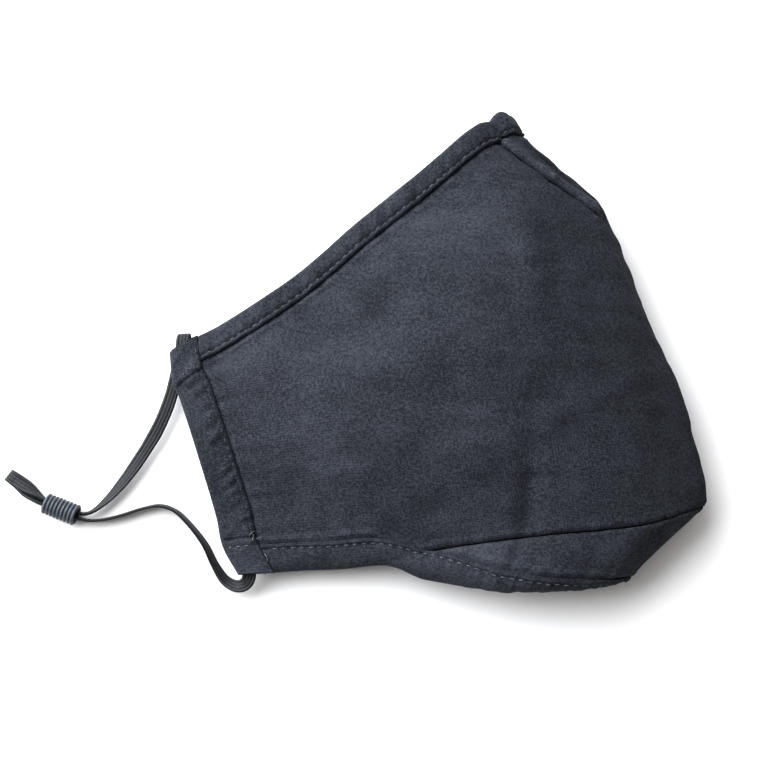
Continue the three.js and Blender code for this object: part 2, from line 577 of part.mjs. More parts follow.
// The ribbon's section: a flat bar with its corners cut, as offsets along its width and thickness.
function ribbonSection(width, thick) {
  const cut = thick / 4;
  const corner = (x, y) => [
    [x * (width / 2), y * (thick / 2 - cut)],
    [x * (width / 2 - cut), y * (thick / 2)],
  ];
  return [
    ...corner(1, 1),
    ...corner(-1, 1).reverse(),
    ...corner(-1, -1),
    ...corner(1, -1).reverse(),
  ];
}

// A closed loop of ribbon through a table of places, with two steps between neighbouring places.
function elasticLoop(table) {
  const route = new THREE.CatmullRomCurve3(
    table.map((row) => new THREE.Vector3(row.x, row.y, row.z)),
    true,
  );
  const count = table.length * 2;
  const rings = steps(0, 1, count).slice(0, count).map((share) => {
    const at = share * table.length;
    const a = table[Math.floor(at)];
    const b = table[(Math.floor(at) + 1) % table.length];
    const part = at - Math.floor(at);
    // Half a turn leaves a ribbon's width pointing the same way, so it counts as none.
    const turned = THREE.MathUtils.euclideanModulo(b.heading - a.heading + 90, 180) - 90;
    const heading = THREE.MathUtils.degToRad(a.heading + turned * part);
    const tilt = THREE.MathUtils.degToRad(mix(a.tilt, b.tilt, part));
    const pinch = mix(a.pinch, b.pinch, part);
    const centre = route.getPoint(share);
    const ahead = route.getTangent(share);
    const wide = new THREE.Vector3(
      Math.cos(heading) * Math.cos(tilt),
      Math.sin(heading) * Math.cos(tilt),
      Math.sin(tilt),
    );
    wide.addScaledVector(ahead, -wide.dot(ahead)).normalize();
    const thick = ahead.clone().cross(wide);
    return ribbonSection(
      mix(ELASTIC_WIDTH, PINCHED_WIDTH, pinch),
      mix(ELASTIC_THICK, PINCHED_THICK, pinch),
    ).map(([x, y]) => centre.clone().addScaledVector(wide, x).addScaledVector(thick, y));
  });
  return ringGeometry(rings);
}

// A closed tube through rings of points; its last ring joins its first, whichever way it is twisted.
function ringGeometry(rings) {
  const sides = rings[0].length;
  const last = rings[rings.length - 1];
  const gap = (shift) => last.reduce((sum, p, k) => sum + p.distanceTo(rings[0][(k + shift) % sides]), 0);
  const shifts = Array.from({ length: sides }, (_, k) => k);
  const shift = shifts.reduce((best, k) => (gap(k) < gap(best) ? k : best), 0);
  const faces = [];
  rings.forEach((_, i) => {
    const next = (i + 1) % rings.length;
    const extra = next === 0 ? shift : 0;
    for (let k = 0; k < sides; k++) {
      const a = i * sides + k;
      const b = i * sides + ((k + 1) % sides);
      const c = next * sides + ((k + 1 + extra) % sides);
      const d = next * sides + ((k + extra) % sides);
      faces.push(a, b, c, a, c, d);
    }
  });
  const geometry = new THREE.BufferGeometry();
  const places = rings.flat().flatMap((p) => p.toArray());
  geometry.setAttribute("position", new THREE.Float32BufferAttribute(places, 3));
  geometry.setIndex(faces);
  return geometry;
}

// A soft ribbed barrel with a straight bore, turned about its length.
function cordLock() {
  const rib = LOCK_LENGTH / LOCK_RIBS;
  const half = LOCK_LENGTH / 2;
  const profile = [new THREE.Vector2(LOCK_BORE_RADIUS, -half)];
  for (let i = 0; i < LOCK_RIBS; i++) {
    profile.push(new THREE.Vector2(LOCK_RADIUS - LOCK_GROOVE, -half + i * rib));
    profile.push(new THREE.Vector2(LOCK_RADIUS, -half + (i + 0.5) * rib));
  }
  profile.push(new THREE.Vector2(LOCK_RADIUS - LOCK_GROOVE, half));
  profile.push(new THREE.Vector2(LOCK_BORE_RADIUS, half));
  profile.push(profile[0].clone());
  return new THREE.LatheGeometry(profile, LOCK_SIDES);
}

// ---------------------------------------------------------------- assembly

const cotton = new THREE.MeshStandardMaterial({ color: 0x26282d, roughness: 0.9, metalness: 0 });
const elastic = new THREE.MeshStandardMaterial({ color: 0x1c1e22, roughness: 0.7, metalness: 0 });
const silicone = new THREE.MeshStandardMaterial({ color: 0x4b5256, roughness: 0.55, metalness: 0 });

function piece(name, geometry, material) {
  const mesh = new THREE.Mesh(geometry, material);
  mesh.name = name;
  geometry.computeVertexNormals();
  return mesh;
}

function placedLock(name, place) {
  const lock = piece(name, cordLock(), silicone);
  lock.position.set(place.x, place.y, place.z);
  lock.rotation.z = THREE.MathUtils.degToRad(place.axis) - Math.PI / 2;
  return lock;
}

const mask = new THREE.Group();
mask.add(
  piece("front_panel", frontPanel(), cotton),
  piece("chin_panel", chinPanel(), cotton),
  piece("top_band", edgeBand(true), cotton),
  piece("bottom_band", edgeBand(false), cotton),
  piece("ear_casing_left", earCasing(1), cotton),
  piece("ear_casing_right", earCasing(-1), cotton),
  piece("ear_elastic_left", elasticLoop(LEFT_ELASTIC), elastic),
  piece("ear_elastic_right", elasticLoop(RIGHT_ELASTIC), elastic),
  placedLock("cord_lock_left", LEFT_LOCK),
  placedLock("cord_lock_right", RIGHT_LOCK),
);

export default mask;
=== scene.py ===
"""Cloth face mask, folded in half down its centre and lying on its side.

The cloth is one smooth surface, and two numbers place a point on it: turn, which is 1 at the upper ear edge, 0 on the
centre fold and -1 at the lower ear edge, and rise, the distance up from the hem. Every cloth piece is a wall or a
folded strip set off from that surface. Tables and functions are in millimetres, and meshes in metres.
"""

import bpy
import numpy as np
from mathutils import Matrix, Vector


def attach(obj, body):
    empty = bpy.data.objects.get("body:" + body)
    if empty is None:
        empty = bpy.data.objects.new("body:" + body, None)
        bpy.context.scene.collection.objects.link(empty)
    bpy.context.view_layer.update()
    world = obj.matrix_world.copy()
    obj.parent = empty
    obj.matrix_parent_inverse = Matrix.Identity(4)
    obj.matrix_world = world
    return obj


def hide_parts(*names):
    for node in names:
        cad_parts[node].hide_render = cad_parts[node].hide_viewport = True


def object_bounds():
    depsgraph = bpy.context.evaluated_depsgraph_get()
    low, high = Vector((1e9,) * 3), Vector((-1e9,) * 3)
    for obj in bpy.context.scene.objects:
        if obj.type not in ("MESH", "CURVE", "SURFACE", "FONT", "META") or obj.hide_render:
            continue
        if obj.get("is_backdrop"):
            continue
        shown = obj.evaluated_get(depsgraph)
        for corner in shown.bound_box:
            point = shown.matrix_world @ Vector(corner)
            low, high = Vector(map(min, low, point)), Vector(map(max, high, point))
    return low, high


bl_info = {
    "name": "Cloth Face Mask",
    "version": (1, 0, 0),
    "blender": (4, 5, 0),
    "location": "View3D > Sidebar > Face Mask",
    "description": "Builds a folded cotton face mask with elastic ear loops and cord locks",
    "category": "Add Mesh",
}

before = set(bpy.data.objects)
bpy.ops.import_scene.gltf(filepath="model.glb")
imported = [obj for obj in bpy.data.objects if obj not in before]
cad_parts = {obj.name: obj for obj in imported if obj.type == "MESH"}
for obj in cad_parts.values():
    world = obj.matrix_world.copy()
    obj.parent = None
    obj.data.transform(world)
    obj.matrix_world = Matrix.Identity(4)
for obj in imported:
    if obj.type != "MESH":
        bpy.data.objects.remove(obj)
CAD_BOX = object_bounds()

MM = 0.001  # metres in a millimetre

# ---------------------------------------------------------------- sizes that the pieces share

PANEL_WALL = 1.2
LEAF_WALL = 1.0
PIECE_GAP = 0.35
STRIP_HALF = PANEL_WALL / 2 + PIECE_GAP + LEAF_WALL
BAND_TURN_IN = 5.0
CASING_GRIP = 3.0
HEM_TUCK = 1.7
SEAM_GAP = 0.2

UPPER_EAR_Z = 8.1
TABLE_PANEL_Z = PANEL_WALL / 2
LOWER_INSET, LOWER_INSET_FADE = 2.4, 0.1
STRIP_CLEAR, STRIP_RAMP = 1.0, 9.0
CHIN_BULGE, CHIN_BULGE_FULL = 6.0, 20.0
CHIN_OUT = (0.06, -0.08)
CHIN_OPENS = (0.24, 0.41)
CURL_ACROSS, CURL_TURN, CURL_STARTS = (0.42, 0.62), 0.12, 0.66
CURL_OUT, CURL_IN, CURL_DOWN = 3.0, 3.0, 0.8
CHIN_HALF_TURN = 0.68
ROOF_POWER = 1.6  # the upper half falls to the fold in a curve between a straight slope (1) and an ellipse (2)

ROUND_SHARE, ROUND_AT, LOWER_ROUND_AT = 0.3, 0.8, 0.86
EDGE_TURN = 0.7
TURN_STEP, RISE_STEP = 0.006, 1.2

COTTON = "Charcoal Cotton Poplin"
# The tone paints shade and highlight into the cloth's colour: darker in hollows and creases, paler on rises.
PLAIN_TONE, TONE_PER_MM = 0.5, 0.45  # tone of the panels where they are level, and its change with their relief
STRIP_TONE, STRIP_TONE_PER_MM = 0.36, 0.4  # the same for the bands and casings

# In metres: where each ear loop leaves its casing.
EXITS = {"left": (-0.0794, 0.0003, 0.009), "right": (-0.0775, -0.0024, 0.00195)}

# ---------------------------------------------------------------- small helpers


def mix(a, b, t):
    """The value a share t of the way from a to b."""
    return a + (b - a) * t


def smooth(low, high, value):
    """0 below low and 1 above high, with an S-shaped rise between: 3 t squared less 2 t cubed."""
    t = np.clip((np.asarray(value, float) - low) / (high - low), 0, 1)
    return t * t * (3 - 2 * t)


def bell(value, width):
    """1 at zero, falling away on both sides as e to the minus square of value over width."""
    return np.exp(-((np.asarray(value, float) / width) ** 2))


def wander(length, at, seed):
    """A line that drifts between -1 and 1: four sine waves near one wavelength, with their phases drawn from a seed."""
    draw = np.random.default_rng(seed)
    waves = [(draw.uniform(0.6, 1.7) / length, draw.uniform(0, 2 * np.pi)) for _ in range(4)]
    return sum(np.sin(2 * np.pi * at * rate + phase) for rate, phase in waves) / 2.4


def ripple(length, x, y, seed, count=14):
    """Smooth lumps over a plane: plane waves near one wavelength, in directions and phases drawn from a seed."""
    draw = np.random.default_rng(seed)
    total = 0
    for _ in range(count):
        way, phase, rate = draw.uniform(0, np.pi), draw.uniform(0, 2 * np.pi), draw.uniform(0.6, 1.5) / length
        total = total + np.sin(2 * np.pi * rate * (x * np.cos(way) + y * np.sin(way)) + phase)
    return total / count**0.5


def reader(header, rows):
    """A table read between its rows: each column is a cubic Hermite curve of the first one, through every row, and the
    slope at a row is the slope between its two neighbours."""
    names = header.split()[1:]
    data = np.array(rows, float)
    keys, last = data[:, 0], len(rows) - 1
    before, after = np.maximum(np.arange(last + 1) - 1, 0), np.minimum(np.arange(last + 1) + 1, last)
    slopes = (data[after] - data[before]) / (keys[after] - keys[before])[:, None]

    def read(value):
        at = np.clip(value, keys[0], keys[-1])
        b = np.clip(np.searchsorted(keys, at), 1, last)
        a = b - 1
        span = keys[b] - keys[a]
        t = (at - keys[a]) / span
        parts = ((1 + 2 * t) * (1 - t) ** 2, (3 - 2 * t) * t**2, span * t * (1 - t) ** 2, -span * (1 - t) * t**2)
        return {
            name: parts[0] * data[a, i] + parts[1] * data[b, i] + parts[2] * slopes[a, i] + parts[3] * slopes[b, i]
            for i, name in enumerate(names, 1)
        }

    return read


# ---------------------------------------------------------------- the cut of the mask

# Ear edge of the upper half, from the hem up.
EAR_LINE = reader("along x y", [
    (0.0, -60.4, -71.3), (0.12, -65.4, -62.7), (0.25, -67.6, -53.5), (0.5, -73.2, -36.0),
    (0.78, -79.8, -16.5), (0.86, -82.2, -11.4), (1.0, -83.4, -1.8),
])

# Centre fold, from the chin tip to the bridge of the nose.
FOLD_LINE = reader("along x y z", [
    (0.0, 82.6, -50.6, 14.0), (0.05, 82.7, -44.0, 14.5), (0.17, 78.9, -27.1, 15.0), (0.26, 76.1, -14.6, 15.0),
    (0.42, 67.6, 6.1, 15.0), (0.55, 61.8, 23.9, 15.0), (0.66, 55.8, 38.6, 15.0), (0.73, 51.0, 47.0, 15.0),
    (0.84, 39.5, 58.0, 15.0), (0.91, 31.5, 64.8, 14.5), (0.94, 28.2, 68.0, 13.5), (1.0, 24.9, 75.2, 12.0),
])

# Top edge, from the ear corner to the nose.
TOP_EDGE = reader("across x y", [
    (0.0, -83.4, -1.8), (0.06, -76.7, 2.3), (0.14, -67.2, 6.7), (0.33, -45.0, 20.4),
    (0.54, -23.0, 38.7), (0.78, 2.3, 60.0), (0.9, 14.2, 70.2), (0.94, 17.8, 71.9), (0.968, 21.2, 75.1),
    (1.0, 24.9, 75.0),
])

# Lower edge of the main cloth: hem near the ear, then the chin seam. hem_x and hem_y are the mask's edge below it.
LOWER_EDGE = reader("across x y hem_x hem_y", [
    (0.0, -60.4, -71.3, -60.4, -71.3), (0.13, -41.3, -70.1, -41.3, -70.1), (0.24, -25.9, -69.4, -25.9, -69.4),
    (0.33, -12.5, -67.2, -13.6, -70.2), (0.41, -1.4, -64.4, -3.0, -72.6), (0.55, 19.0, -61.5, 14.0, -75.6),
    (0.68, 37.3, -59.6, 27.0, -76.2), (0.77, 49.9, -58.6, 36.0, -76.1), (0.87, 64.5, -56.6, 45.5, -75.3),
    (1.0, 82.6, -50.6, 54.0, -73.6),
])

# Upper half, section by section: where its crest is, how high, and how late the flank rises to it.
SECTION = reader("along crest_at crest_z flank", [
    (0.0, 0.8, 24.0, 2.7), (0.25, 0.67, 30.0, 2.0), (0.5, 0.64, 32.0, 1.6),
    (0.75, 0.67, 27.5, 1.3), (0.92, 0.82, 21.5, 1.1), (1.0, 0.86, 21.0, 1.0),
])
HEM_SECTION = {"crest_at": 0.84, "crest_z": 16.0, "flank": 1.8}
HEM_FOLD_Z = 9.2

# Ridges (lift above 0) and creases (below 0) of the upper half, each along a line seen from above.
FOLDS = [  # name, x1, y1, x2, y2, lift, width
    ("cheek step, upper", 26.9, 39.5, 29.6, 27.3, 0.75, 4.6),
    ("cheek step, lower", 29.6, 27.3, 31.6, 8.0, 0.6, 5.0),
    ("chin crease", 28.3, -44.0, 27.8, -62.0, -1.5, 3.2),
    ("chin crease fading up", 28.6, -30.0, 28.2, -50.0, -0.8, 4.5),
    ("chin crease on the chin piece", 28.4, -60.5, 26.6, -73.0, 0.5, 1.8),
    ("chin ridge, left", 2.3, -36.9, 34.0, -26.4, 0.6, 3.6),
    ("chin ridge, right", 34.0, -26.4, 63.3, -12.3, 0.65, 3.4),
    ("lower ridge", -15.7, -52.2, 24.0, -34.5, 0.5, 4.0),
    ("middle hollow", -13.6, 13.0, -15.7, -18.0, -0.7, 8.0),
    ("cheek roll", -41.4, -24.2, 10.6, 1.4, 0.8, 10.0),
    ("hem hollow", -40.0, -50.0, 0.0, -50.0, -0.9, 8.0),
    ("band wave near the ear", -52.0, 15.5, -46.0, 5.0, 0.7, 7.0),
    ("band hollow", -2.0, 50.0, 6.0, 38.0, -0.9, 7.5),
    ("band wave", -24.0, 35.0, -16.0, 22.0, 0.8, 8.0),
    ("band wave near the nose", 10.0, 64.0, 18.0, 54.0, 0.6, 4.5),
]

# The dart beside the bridge of the nose, and the lobe that the top band ends in. They reach nearer to the fold.
NOSE_FOLDS = [
    ("dart groove, top", 20.5, 64.8, 37.2, 51.5, -1.7, 0.85),
    ("dart groove, bottom", 37.2, 51.5, 52.3, 40.6, -1.7, 0.85),
    ("dart ridge, top", 23.0, 64.8, 38.6, 52.7, 1.5, 0.9),
    ("dart ridge, bottom", 38.6, 52.7, 53.6, 41.8, 1.7, 0.9),
    ("dart hollow", 30.5, 63.4, 50.6, 46.5, -1.3, 2.0),
    ("edge ridge, top", 35.8, 62.0, 41.0, 55.9, 0.6, 1.0),
    ("edge ridge, bottom", 41.0, 55.9, 53.4, 43.0, 0.7, 1.0),
    ("dart end", 51.6, 39.4, 54.4, 40.8, 0.8, 0.9),
    ("lobe notch", 17.2, 74.0, 21.6, 66.6, -1.1, 1.2),
    ("lobe", 21.0, 74.5, 23.5, 69.5, 1.3, 2.2),
]

# ---------------------------------------------------------------- the middle surface of the cloth


def across_at(turn):
    """How far across a half a turn is: straight in turn, then a quarter cosine over the rounded fold."""
    side = np.abs(turn)
    rounded = mix(ROUND_AT, 1, np.cos(np.clip(side / ROUND_SHARE, 0, 1) * np.pi / 2))
    return np.where(side > ROUND_SHARE, ROUND_AT * (1 - side) / (1 - ROUND_SHARE), rounded)


def plan(across, along):
    """A point seen from above: the patch that fills the loop of ear, fold, top and lower edges, which is the blend of
    the two side edges plus the blend of the other two, less the blend of the corners."""
    ear, fold, top, low = EAR_LINE(along), FOLD_LINE(along), TOP_EDGE(across), LOWER_EDGE(across)
    ends = [EAR_LINE(0.0), EAR_LINE(1.0), FOLD_LINE(0.0), FOLD_LINE(1.0)]

    def fill(name):
        corners = mix(mix(ends[0][name], ends[1][name], along), mix(ends[2][name], ends[3][name], along), across)
        return mix(ear[name], fold[name], across) + mix(low[name], top[name], along) - corners

    return np.stack(np.broadcast_arrays(fill("x"), fill("y")), -1)


def section_height(turn, shape, fold_z):
    """Height of a section: a quarter of a rounded curve from the fold up to the crest, then a flank w to the power p,
    times 1 + p (1 - w), down to the ear. The lower half only comes down to the surface."""
    across, upper = across_at(turn), turn >= 0
    crest_at = np.where(upper, shape["crest_at"], LOWER_ROUND_AT)
    crest_z = np.where(upper, shape["crest_z"], TABLE_PANEL_Z)
    out = np.clip((across - crest_at) / (1 - crest_at), 0, 1)
    to_crest, power = np.clip(across / crest_at, 0, 1), shape["flank"]
    climb = to_crest**power * (1 + power * (1 - to_crest))
    flank = np.where(upper, mix(UPPER_EAR_Z, crest_z, climb), crest_z)
    power = np.where(upper, ROOF_POWER, 2.0)
    return np.where(across > crest_at, mix(fold_z, crest_z, (1 - out**power) ** (1 / power)), flank)


def span(a, b):
    """Distance between two arrays of points."""
    return np.linalg.norm(a - b, axis=-1)


ACROSS = np.linspace(0, 1, 401)
ROW_LENGTH = span(plan(0.0, ACROSS), plan(1.0, ACROSS))
PLAN_HEIGHT = span(plan(ACROSS, 0.0), plan(ACROSS, 1.0))


def draw_in(point, across, along):
    """The lower half is drawn in from the outline, except near the fold that it shares."""
    share = LOWER_INSET * smooth(1, LOWER_ROUND_AT - LOWER_INSET_FADE, across)
    point[..., 0] += share * (1 - across)
    point[..., 1] += share * (smooth(0.5, 0, along) - smooth(0.5, 1, along))


def strip_lift(across, along):
    """How far the lower half's cloth is raised where it passes over the folded strips below it."""
    edge = LOWER_EDGE(across)
    chin = np.hypot(edge["x"] - edge["hem_x"], edge["y"] - edge["hem_y"])
    height = np.interp(across, ACROSS, PLAN_HEIGHT)
    clear = 1.0
    for distance, width in (
        (chin + along * height, 8.5),
        ((1 - along) * height, 8.5),
        (across * np.interp(along, ACROSS, ROW_LENGTH), 10.4),
    ):
        clear = clear * smooth(width + STRIP_CLEAR, width + STRIP_CLEAR + STRIP_RAMP, distance)
    return (STRIP_HALF - TABLE_PANEL_Z) * (1 - clear)


def fold_height(point, folds):
    """Sum of the ridges and creases: each is its lift times a bell of the distance from its line."""
    total = 0
    for _, x1, y1, x2, y2, lift, width in folds:
        run = np.array([x2 - x1, y2 - y1])
        away = point[..., :2] - (x1, y1)
        share = np.clip(away @ run / (run @ run), 0, 1)
        total = total + lift * bell(np.linalg.norm(away - share[..., None] * run, axis=-1), width)
    return total


def panel_point(turn, along):
    """The main cloth: along is 0 on its lower edge and 1 on its top edge."""
    across = across_at(turn)
    flat = plan(across, along)
    height = section_height(turn, SECTION(along), FOLD_LINE(along)["z"])
    settled, near = smooth(0, ROUND_SHARE, np.abs(turn)), smooth(0, 0.07, np.abs(turn))
    moved = flat.copy()
    draw_in(moved, across, np.broadcast_to(along, across.shape))
    lower = np.asarray(turn) < 0
    z = height + settled * np.where(lower, strip_lift(across, along), fold_height(flat, FOLDS))
    z = z + near * np.where(lower, 0, fold_height(flat, NOSE_FOLDS))
    return np.concatenate([np.where(lower[..., None], moved, flat), z[..., None]], -1)


def hem_point(turn):
    """The mask's lower edge: the main cloth's own near the ears, and the chin piece's beyond."""
    across = across_at(turn)
    edge = LOWER_EDGE(across)
    hem = np.stack([edge["hem_x"], edge["hem_y"], section_height(turn, HEM_SECTION, HEM_FOLD_Z)], -1)
    lower = np.asarray(turn) < 0
    moved = hem.copy()
    draw_in(moved, across, np.zeros_like(across))
    moved[..., 2] += (STRIP_HALF - TABLE_PANEL_Z) * smooth(0, ROUND_SHARE, -turn)
    hem = np.where(lower[..., None], moved, hem)
    return mix(panel_point(turn, np.zeros_like(across)), hem, smooth(*CHIN_OPENS, across)[..., None])


TURNS = np.linspace(-1, 1, 1601)
CHIN_HEIGHTS = span(panel_point(TURNS, np.zeros_like(TURNS)), hem_point(TURNS))
FRONT_HEIGHTS = span(panel_point(TURNS, np.zeros_like(TURNS)), panel_point(TURNS, np.ones_like(TURNS)))


def chin_height(turn):
    """Height of the chin piece at a turn, from the hem up to the chin seam. It is 0 where there is no chin piece."""
    return np.interp(turn, TURNS, CHIN_HEIGHTS)


def front_height(turn):
    """Height of the main cloth at a turn, from the chin seam, or the hem, up to the top edge."""
    return np.interp(turn, TURNS, FRONT_HEIGHTS)


def reach(turn):
    """The whole height of the cloth at a turn, from the hem to the top edge."""
    return chin_height(turn) + front_height(turn)


def chin_point(turn, down):
    """The chin piece: a quadratic curve from seam to hem, whose middle is pulled away from the face. The upper hem is
    curled under, by a half sine wave of the square of the height outwards and a smooth step back in."""
    seam, hem = panel_point(turn, np.zeros_like(turn)), hem_point(turn)
    angle = np.clip(np.abs(turn) / ROUND_SHARE, 0, 1) * np.pi / 2
    bulge = CHIN_BULGE * np.clip(chin_height(turn) / CHIN_BULGE_FULL, 0, 1)
    pull = np.stack([
        CHIN_OUT[0] * bulge * np.cos(angle),
        CHIN_OUT[1] * bulge * np.cos(angle),
        np.where(turn > 0, bulge * np.sin(angle), 0),
    ], -1)
    t = down[..., None]
    point = (1 - t) ** 2 * seam + 2 * t * (1 - t) * ((seam + hem) / 2 + pull) + t**2 * hem
    curled = smooth(*CURL_ACROSS, across_at(turn)) * smooth(0, CURL_TURN, turn)
    under = smooth(CURL_STARTS, 1, down)
    point[..., 1] += curled * (CURL_IN * under - CURL_OUT * np.sin(np.pi * down**2))
    point[..., 2] -= curled * CURL_DOWN * under
    return point


def cloth(turn, rise):
    """The whole cloth's middle surface, before its fine relief."""
    turn, rise = (np.array(a, float) for a in np.broadcast_arrays(turn, rise))
    chin = chin_height(turn)
    low = chin_point(turn, 1 - np.clip(rise / np.maximum(chin, 1e-9), 0, 1))
    high = panel_point(turn, np.clip((rise - chin) / front_height(turn), 0, 1))
    return np.where((rise < chin)[..., None], low, high)


def outward(turn, rise):
    """The way out of the mask, square to the cloth: the cross product of its slopes up and sideways."""
    top = reach(turn)

    def at(t, d):
        return cloth(np.clip(t, -1, 1), np.clip(d, 0, top))

    sideways = at(turn + TURN_STEP, rise) - at(turn - TURN_STEP, rise)
    upwards = at(turn, rise + RISE_STEP) - at(turn, rise - RISE_STEP)
    normal = np.cross(upwards, sideways)
    return normal / np.linalg.norm(normal, axis=-1, keepdims=True)


def set_off(turn, rise, off):
    """Points off the cloth by a distance, outwards if it is positive, pressed flat on the surface below."""
    turn, rise, off = (np.array(a, float) for a in np.broadcast_arrays(turn, rise, off))
    point = cloth(turn, np.clip(rise, 0, reach(turn))) + outward(turn, rise) * off[..., None]
    point[..., 2] = np.maximum(point[..., 2], 0)
    return point


def turn_from_ear(distance, along, half):
    """The turn at a distance from an ear edge; half is 1 for the upper ear and -1 for the lower one."""
    return half * (1 - distance / np.interp(along, ACROSS, ROW_LENGTH) / ROUND_AT * (1 - ROUND_SHARE))


def station_turn(station, limit):
    """A mesh station drawn in so that the last one is at the limit."""
    return station + (limit - np.sign(station)) * smooth(EDGE_TURN, 1, np.abs(station))


# ---------------------------------------------------------------- meshes


def grid_quads(rows, columns, start=0, flip=False, wrap=False):
    """Corner numbers of the quads between the points of a grid stored row by row; wrap joins each row's ends."""
    i, j = np.meshgrid(np.arange(rows - 1), np.arange(columns if wrap else columns - 1), indexing="ij")
    a, b = i * columns + j, i * columns + (j + 1) % columns
    c, d = (i + 1) * columns + (j + 1) % columns, (i + 1) * columns + j
    quads = start + np.stack([a, b, c, d], -1).reshape(-1, 4)
    return quads[:, ::-1] if flip else quads


def new_piece(name, points, faces, material, uv=None, tone=None):
    """A mesh object in metres from points in millimetres and groups of faces, each group an array of corners. Tone is
    a number for each point, which its material reads: 0.5 is plain, more is a painted highlight and less is painted
    shade, as down in a crease."""
    mesh = bpy.data.meshes.new(name)
    groups = [np.asarray(g) for g in faces if len(g)]
    corners = np.concatenate([g.ravel() for g in groups]).astype(np.int32)
    sizes = np.concatenate([np.full(len(g), g.shape[1]) for g in groups]).astype(np.int32)
    points = np.asarray(points, float).reshape(-1, 3) * MM
    mesh.vertices.add(len(points))
    mesh.vertices.foreach_set("co", points.ravel())
    mesh.loops.add(len(corners))
    mesh.loops.foreach_set("vertex_index", corners)
    mesh.polygons.add(len(sizes))
    mesh.polygons.foreach_set("loop_start", np.concatenate([[0], np.cumsum(sizes)[:-1]]).astype(np.int32))
    mesh.polygons.foreach_set("use_smooth", np.ones(len(sizes), bool))
    mesh.update(calc_edges=True)
    mesh.validate()
    if uv is not None:
        layer = mesh.uv_layers.new(name="Cloth")
        layer.uv.foreach_set("vector", np.asarray(uv, np.float32).reshape(-1, 2)[corners].ravel())
    if tone is not None:
        mesh.attributes.new("tone", "FLOAT", "POINT").data.foreach_set("value", np.asarray(tone, np.float32).ravel())
    mesh.materials.append(material)
    made = bpy.data.objects.new(name, mesh)
    bpy.context.scene.collection.objects.link(made)
    return made


def wall(name, outer, inner, material, uv, tone, stride):
    """A closed wall between two grids of points. The inner grid may be coarser by a stride, and the rim's faces then
    have a corner for each point of the finer edge that they pass."""
    (rows, columns), (few_rows, few_columns) = outer.shape[:2], inner.shape[:2]
    first = rows * columns
    out = np.arange(rows * columns).reshape(rows, columns)
    inn = first + np.arange(few_rows * few_columns).reshape(few_rows, few_columns)
    faces = [grid_quads(rows, columns), grid_quads(few_rows, few_columns, first, flip=True)]
    for fine, coarse, flip in (
        (out[0], inn[0], True), (out[-1], inn[-1], False),
        (out[:, 0], inn[:, 0], False), (out[:, -1], inn[:, -1], True),
    ):
        steps = np.arange(len(coarse) - 1)
        rim = [fine[steps * stride + k] for k in range(stride + 1)] + [coarse[steps + 1], coarse[steps]]
        rim = np.stack(rim, -1)
        faces.append(rim[:, ::-1] if flip else rim)
    points = np.concatenate([outer.reshape(-1, 3), inner.reshape(-1, 3)])
    both = np.concatenate([uv.reshape(-1, 2), uv[::stride, ::stride].reshape(-1, 2)])
    tones = np.concatenate([tone.ravel(), tone[::stride, ::stride].ravel()])
    return new_piece(name, points, faces, material, both, tones)


def rings_piece(name, rings, material, closed, uv=None, tone=None):
    """A tube through rings of points, rings[i][k]. A closed one joins its last ring to its first by the half turn
    that brings their points together, and an open one ends in two flat caps."""
    count, sides = rings.shape[:2]
    faces = [grid_quads(count, sides, wrap=True)]
    if closed:
        k = np.arange(sides)
        gaps = [np.linalg.norm(rings[-1] - np.roll(rings[0], -shift, axis=0), axis=1).sum() for shift in range(sides)]
        shift, last = int(np.argmin(gaps)), (count - 1) * sides
        faces.append(np.stack([last + k, last + (k + 1) % sides, (k + 1 + shift) % sides, (k + shift) % sides], -1))
    else:
        faces.append(np.arange(sides)[None, ::-1])
        faces.append((count - 1) * sides + np.arange(sides)[None])
    return new_piece(name, rings, faces, material, uv, tone)


def threads_piece(name, paths, radius, material, sides=6):
    """Many short threads in one mesh: each path's points carry a ring whose radius tapers to nothing at both ends."""
    paths = np.asarray(paths, float)
    many, points = paths.shape[:2]
    ahead = np.gradient(paths, axis=1)
    ahead /= np.linalg.norm(ahead, axis=-1, keepdims=True)
    side = np.cross(ahead, (0.0, 0.0, 1.0))
    side /= np.maximum(np.linalg.norm(side, axis=-1, keepdims=True), 1e-6)
    up = np.cross(side, ahead)
    taper = radius * np.maximum(np.sin(np.linspace(0, np.pi, points)) ** 0.35, 0.25)
    angle = np.linspace(0, 2 * np.pi, sides, endpoint=False)
    rings = paths[:, :, None] + taper[None, :, None, None] * (
        np.cos(angle)[None, None, :, None] * side[:, :, None] + np.sin(angle)[None, None, :, None] * up[:, :, None]
    )
    starts = (np.arange(many) * points * sides)[:, None, None]
    tube = (starts + grid_quads(points, sides, wrap=True, flip=True)[None]).reshape(-1, 4)
    caps = np.concatenate([
        (starts[:, 0] + np.arange(sides)[None]), (starts[:, 0] + (points - 1) * sides + np.arange(sides)[None, ::-1]),
    ])
    rings[..., 2] = np.maximum(rings[..., 2], 0)
    return new_piece(name, rings, [tube, caps], material)


# ---------------------------------------------------------------- materials


def linear(colour):
    """A hex sRGB colour as linear values."""
    parts = np.array([int(colour[i : i + 2], 16) for i in (1, 3, 5)]) / 255
    return [float(c) for c in np.where(parts <= 0.04045, parts / 12.92, ((parts + 0.055) / 1.055) ** 2.4)]


def add_node(tree, kind, links=(), **settings):
    """Adds a node, sets its sockets and properties by name, and links sockets of other nodes into its own."""
    made = tree.nodes.new(kind)
    for key, value in settings.items():
        sockets = {s.name.replace(" ", "_").lower(): s for s in made.inputs if s.enabled}
        if key in sockets:
            sockets[key].default_value = value
        else:
            setattr(made, key, value)
    for source, target in links:
        tree.links.new(source, made.inputs[target])
    return made


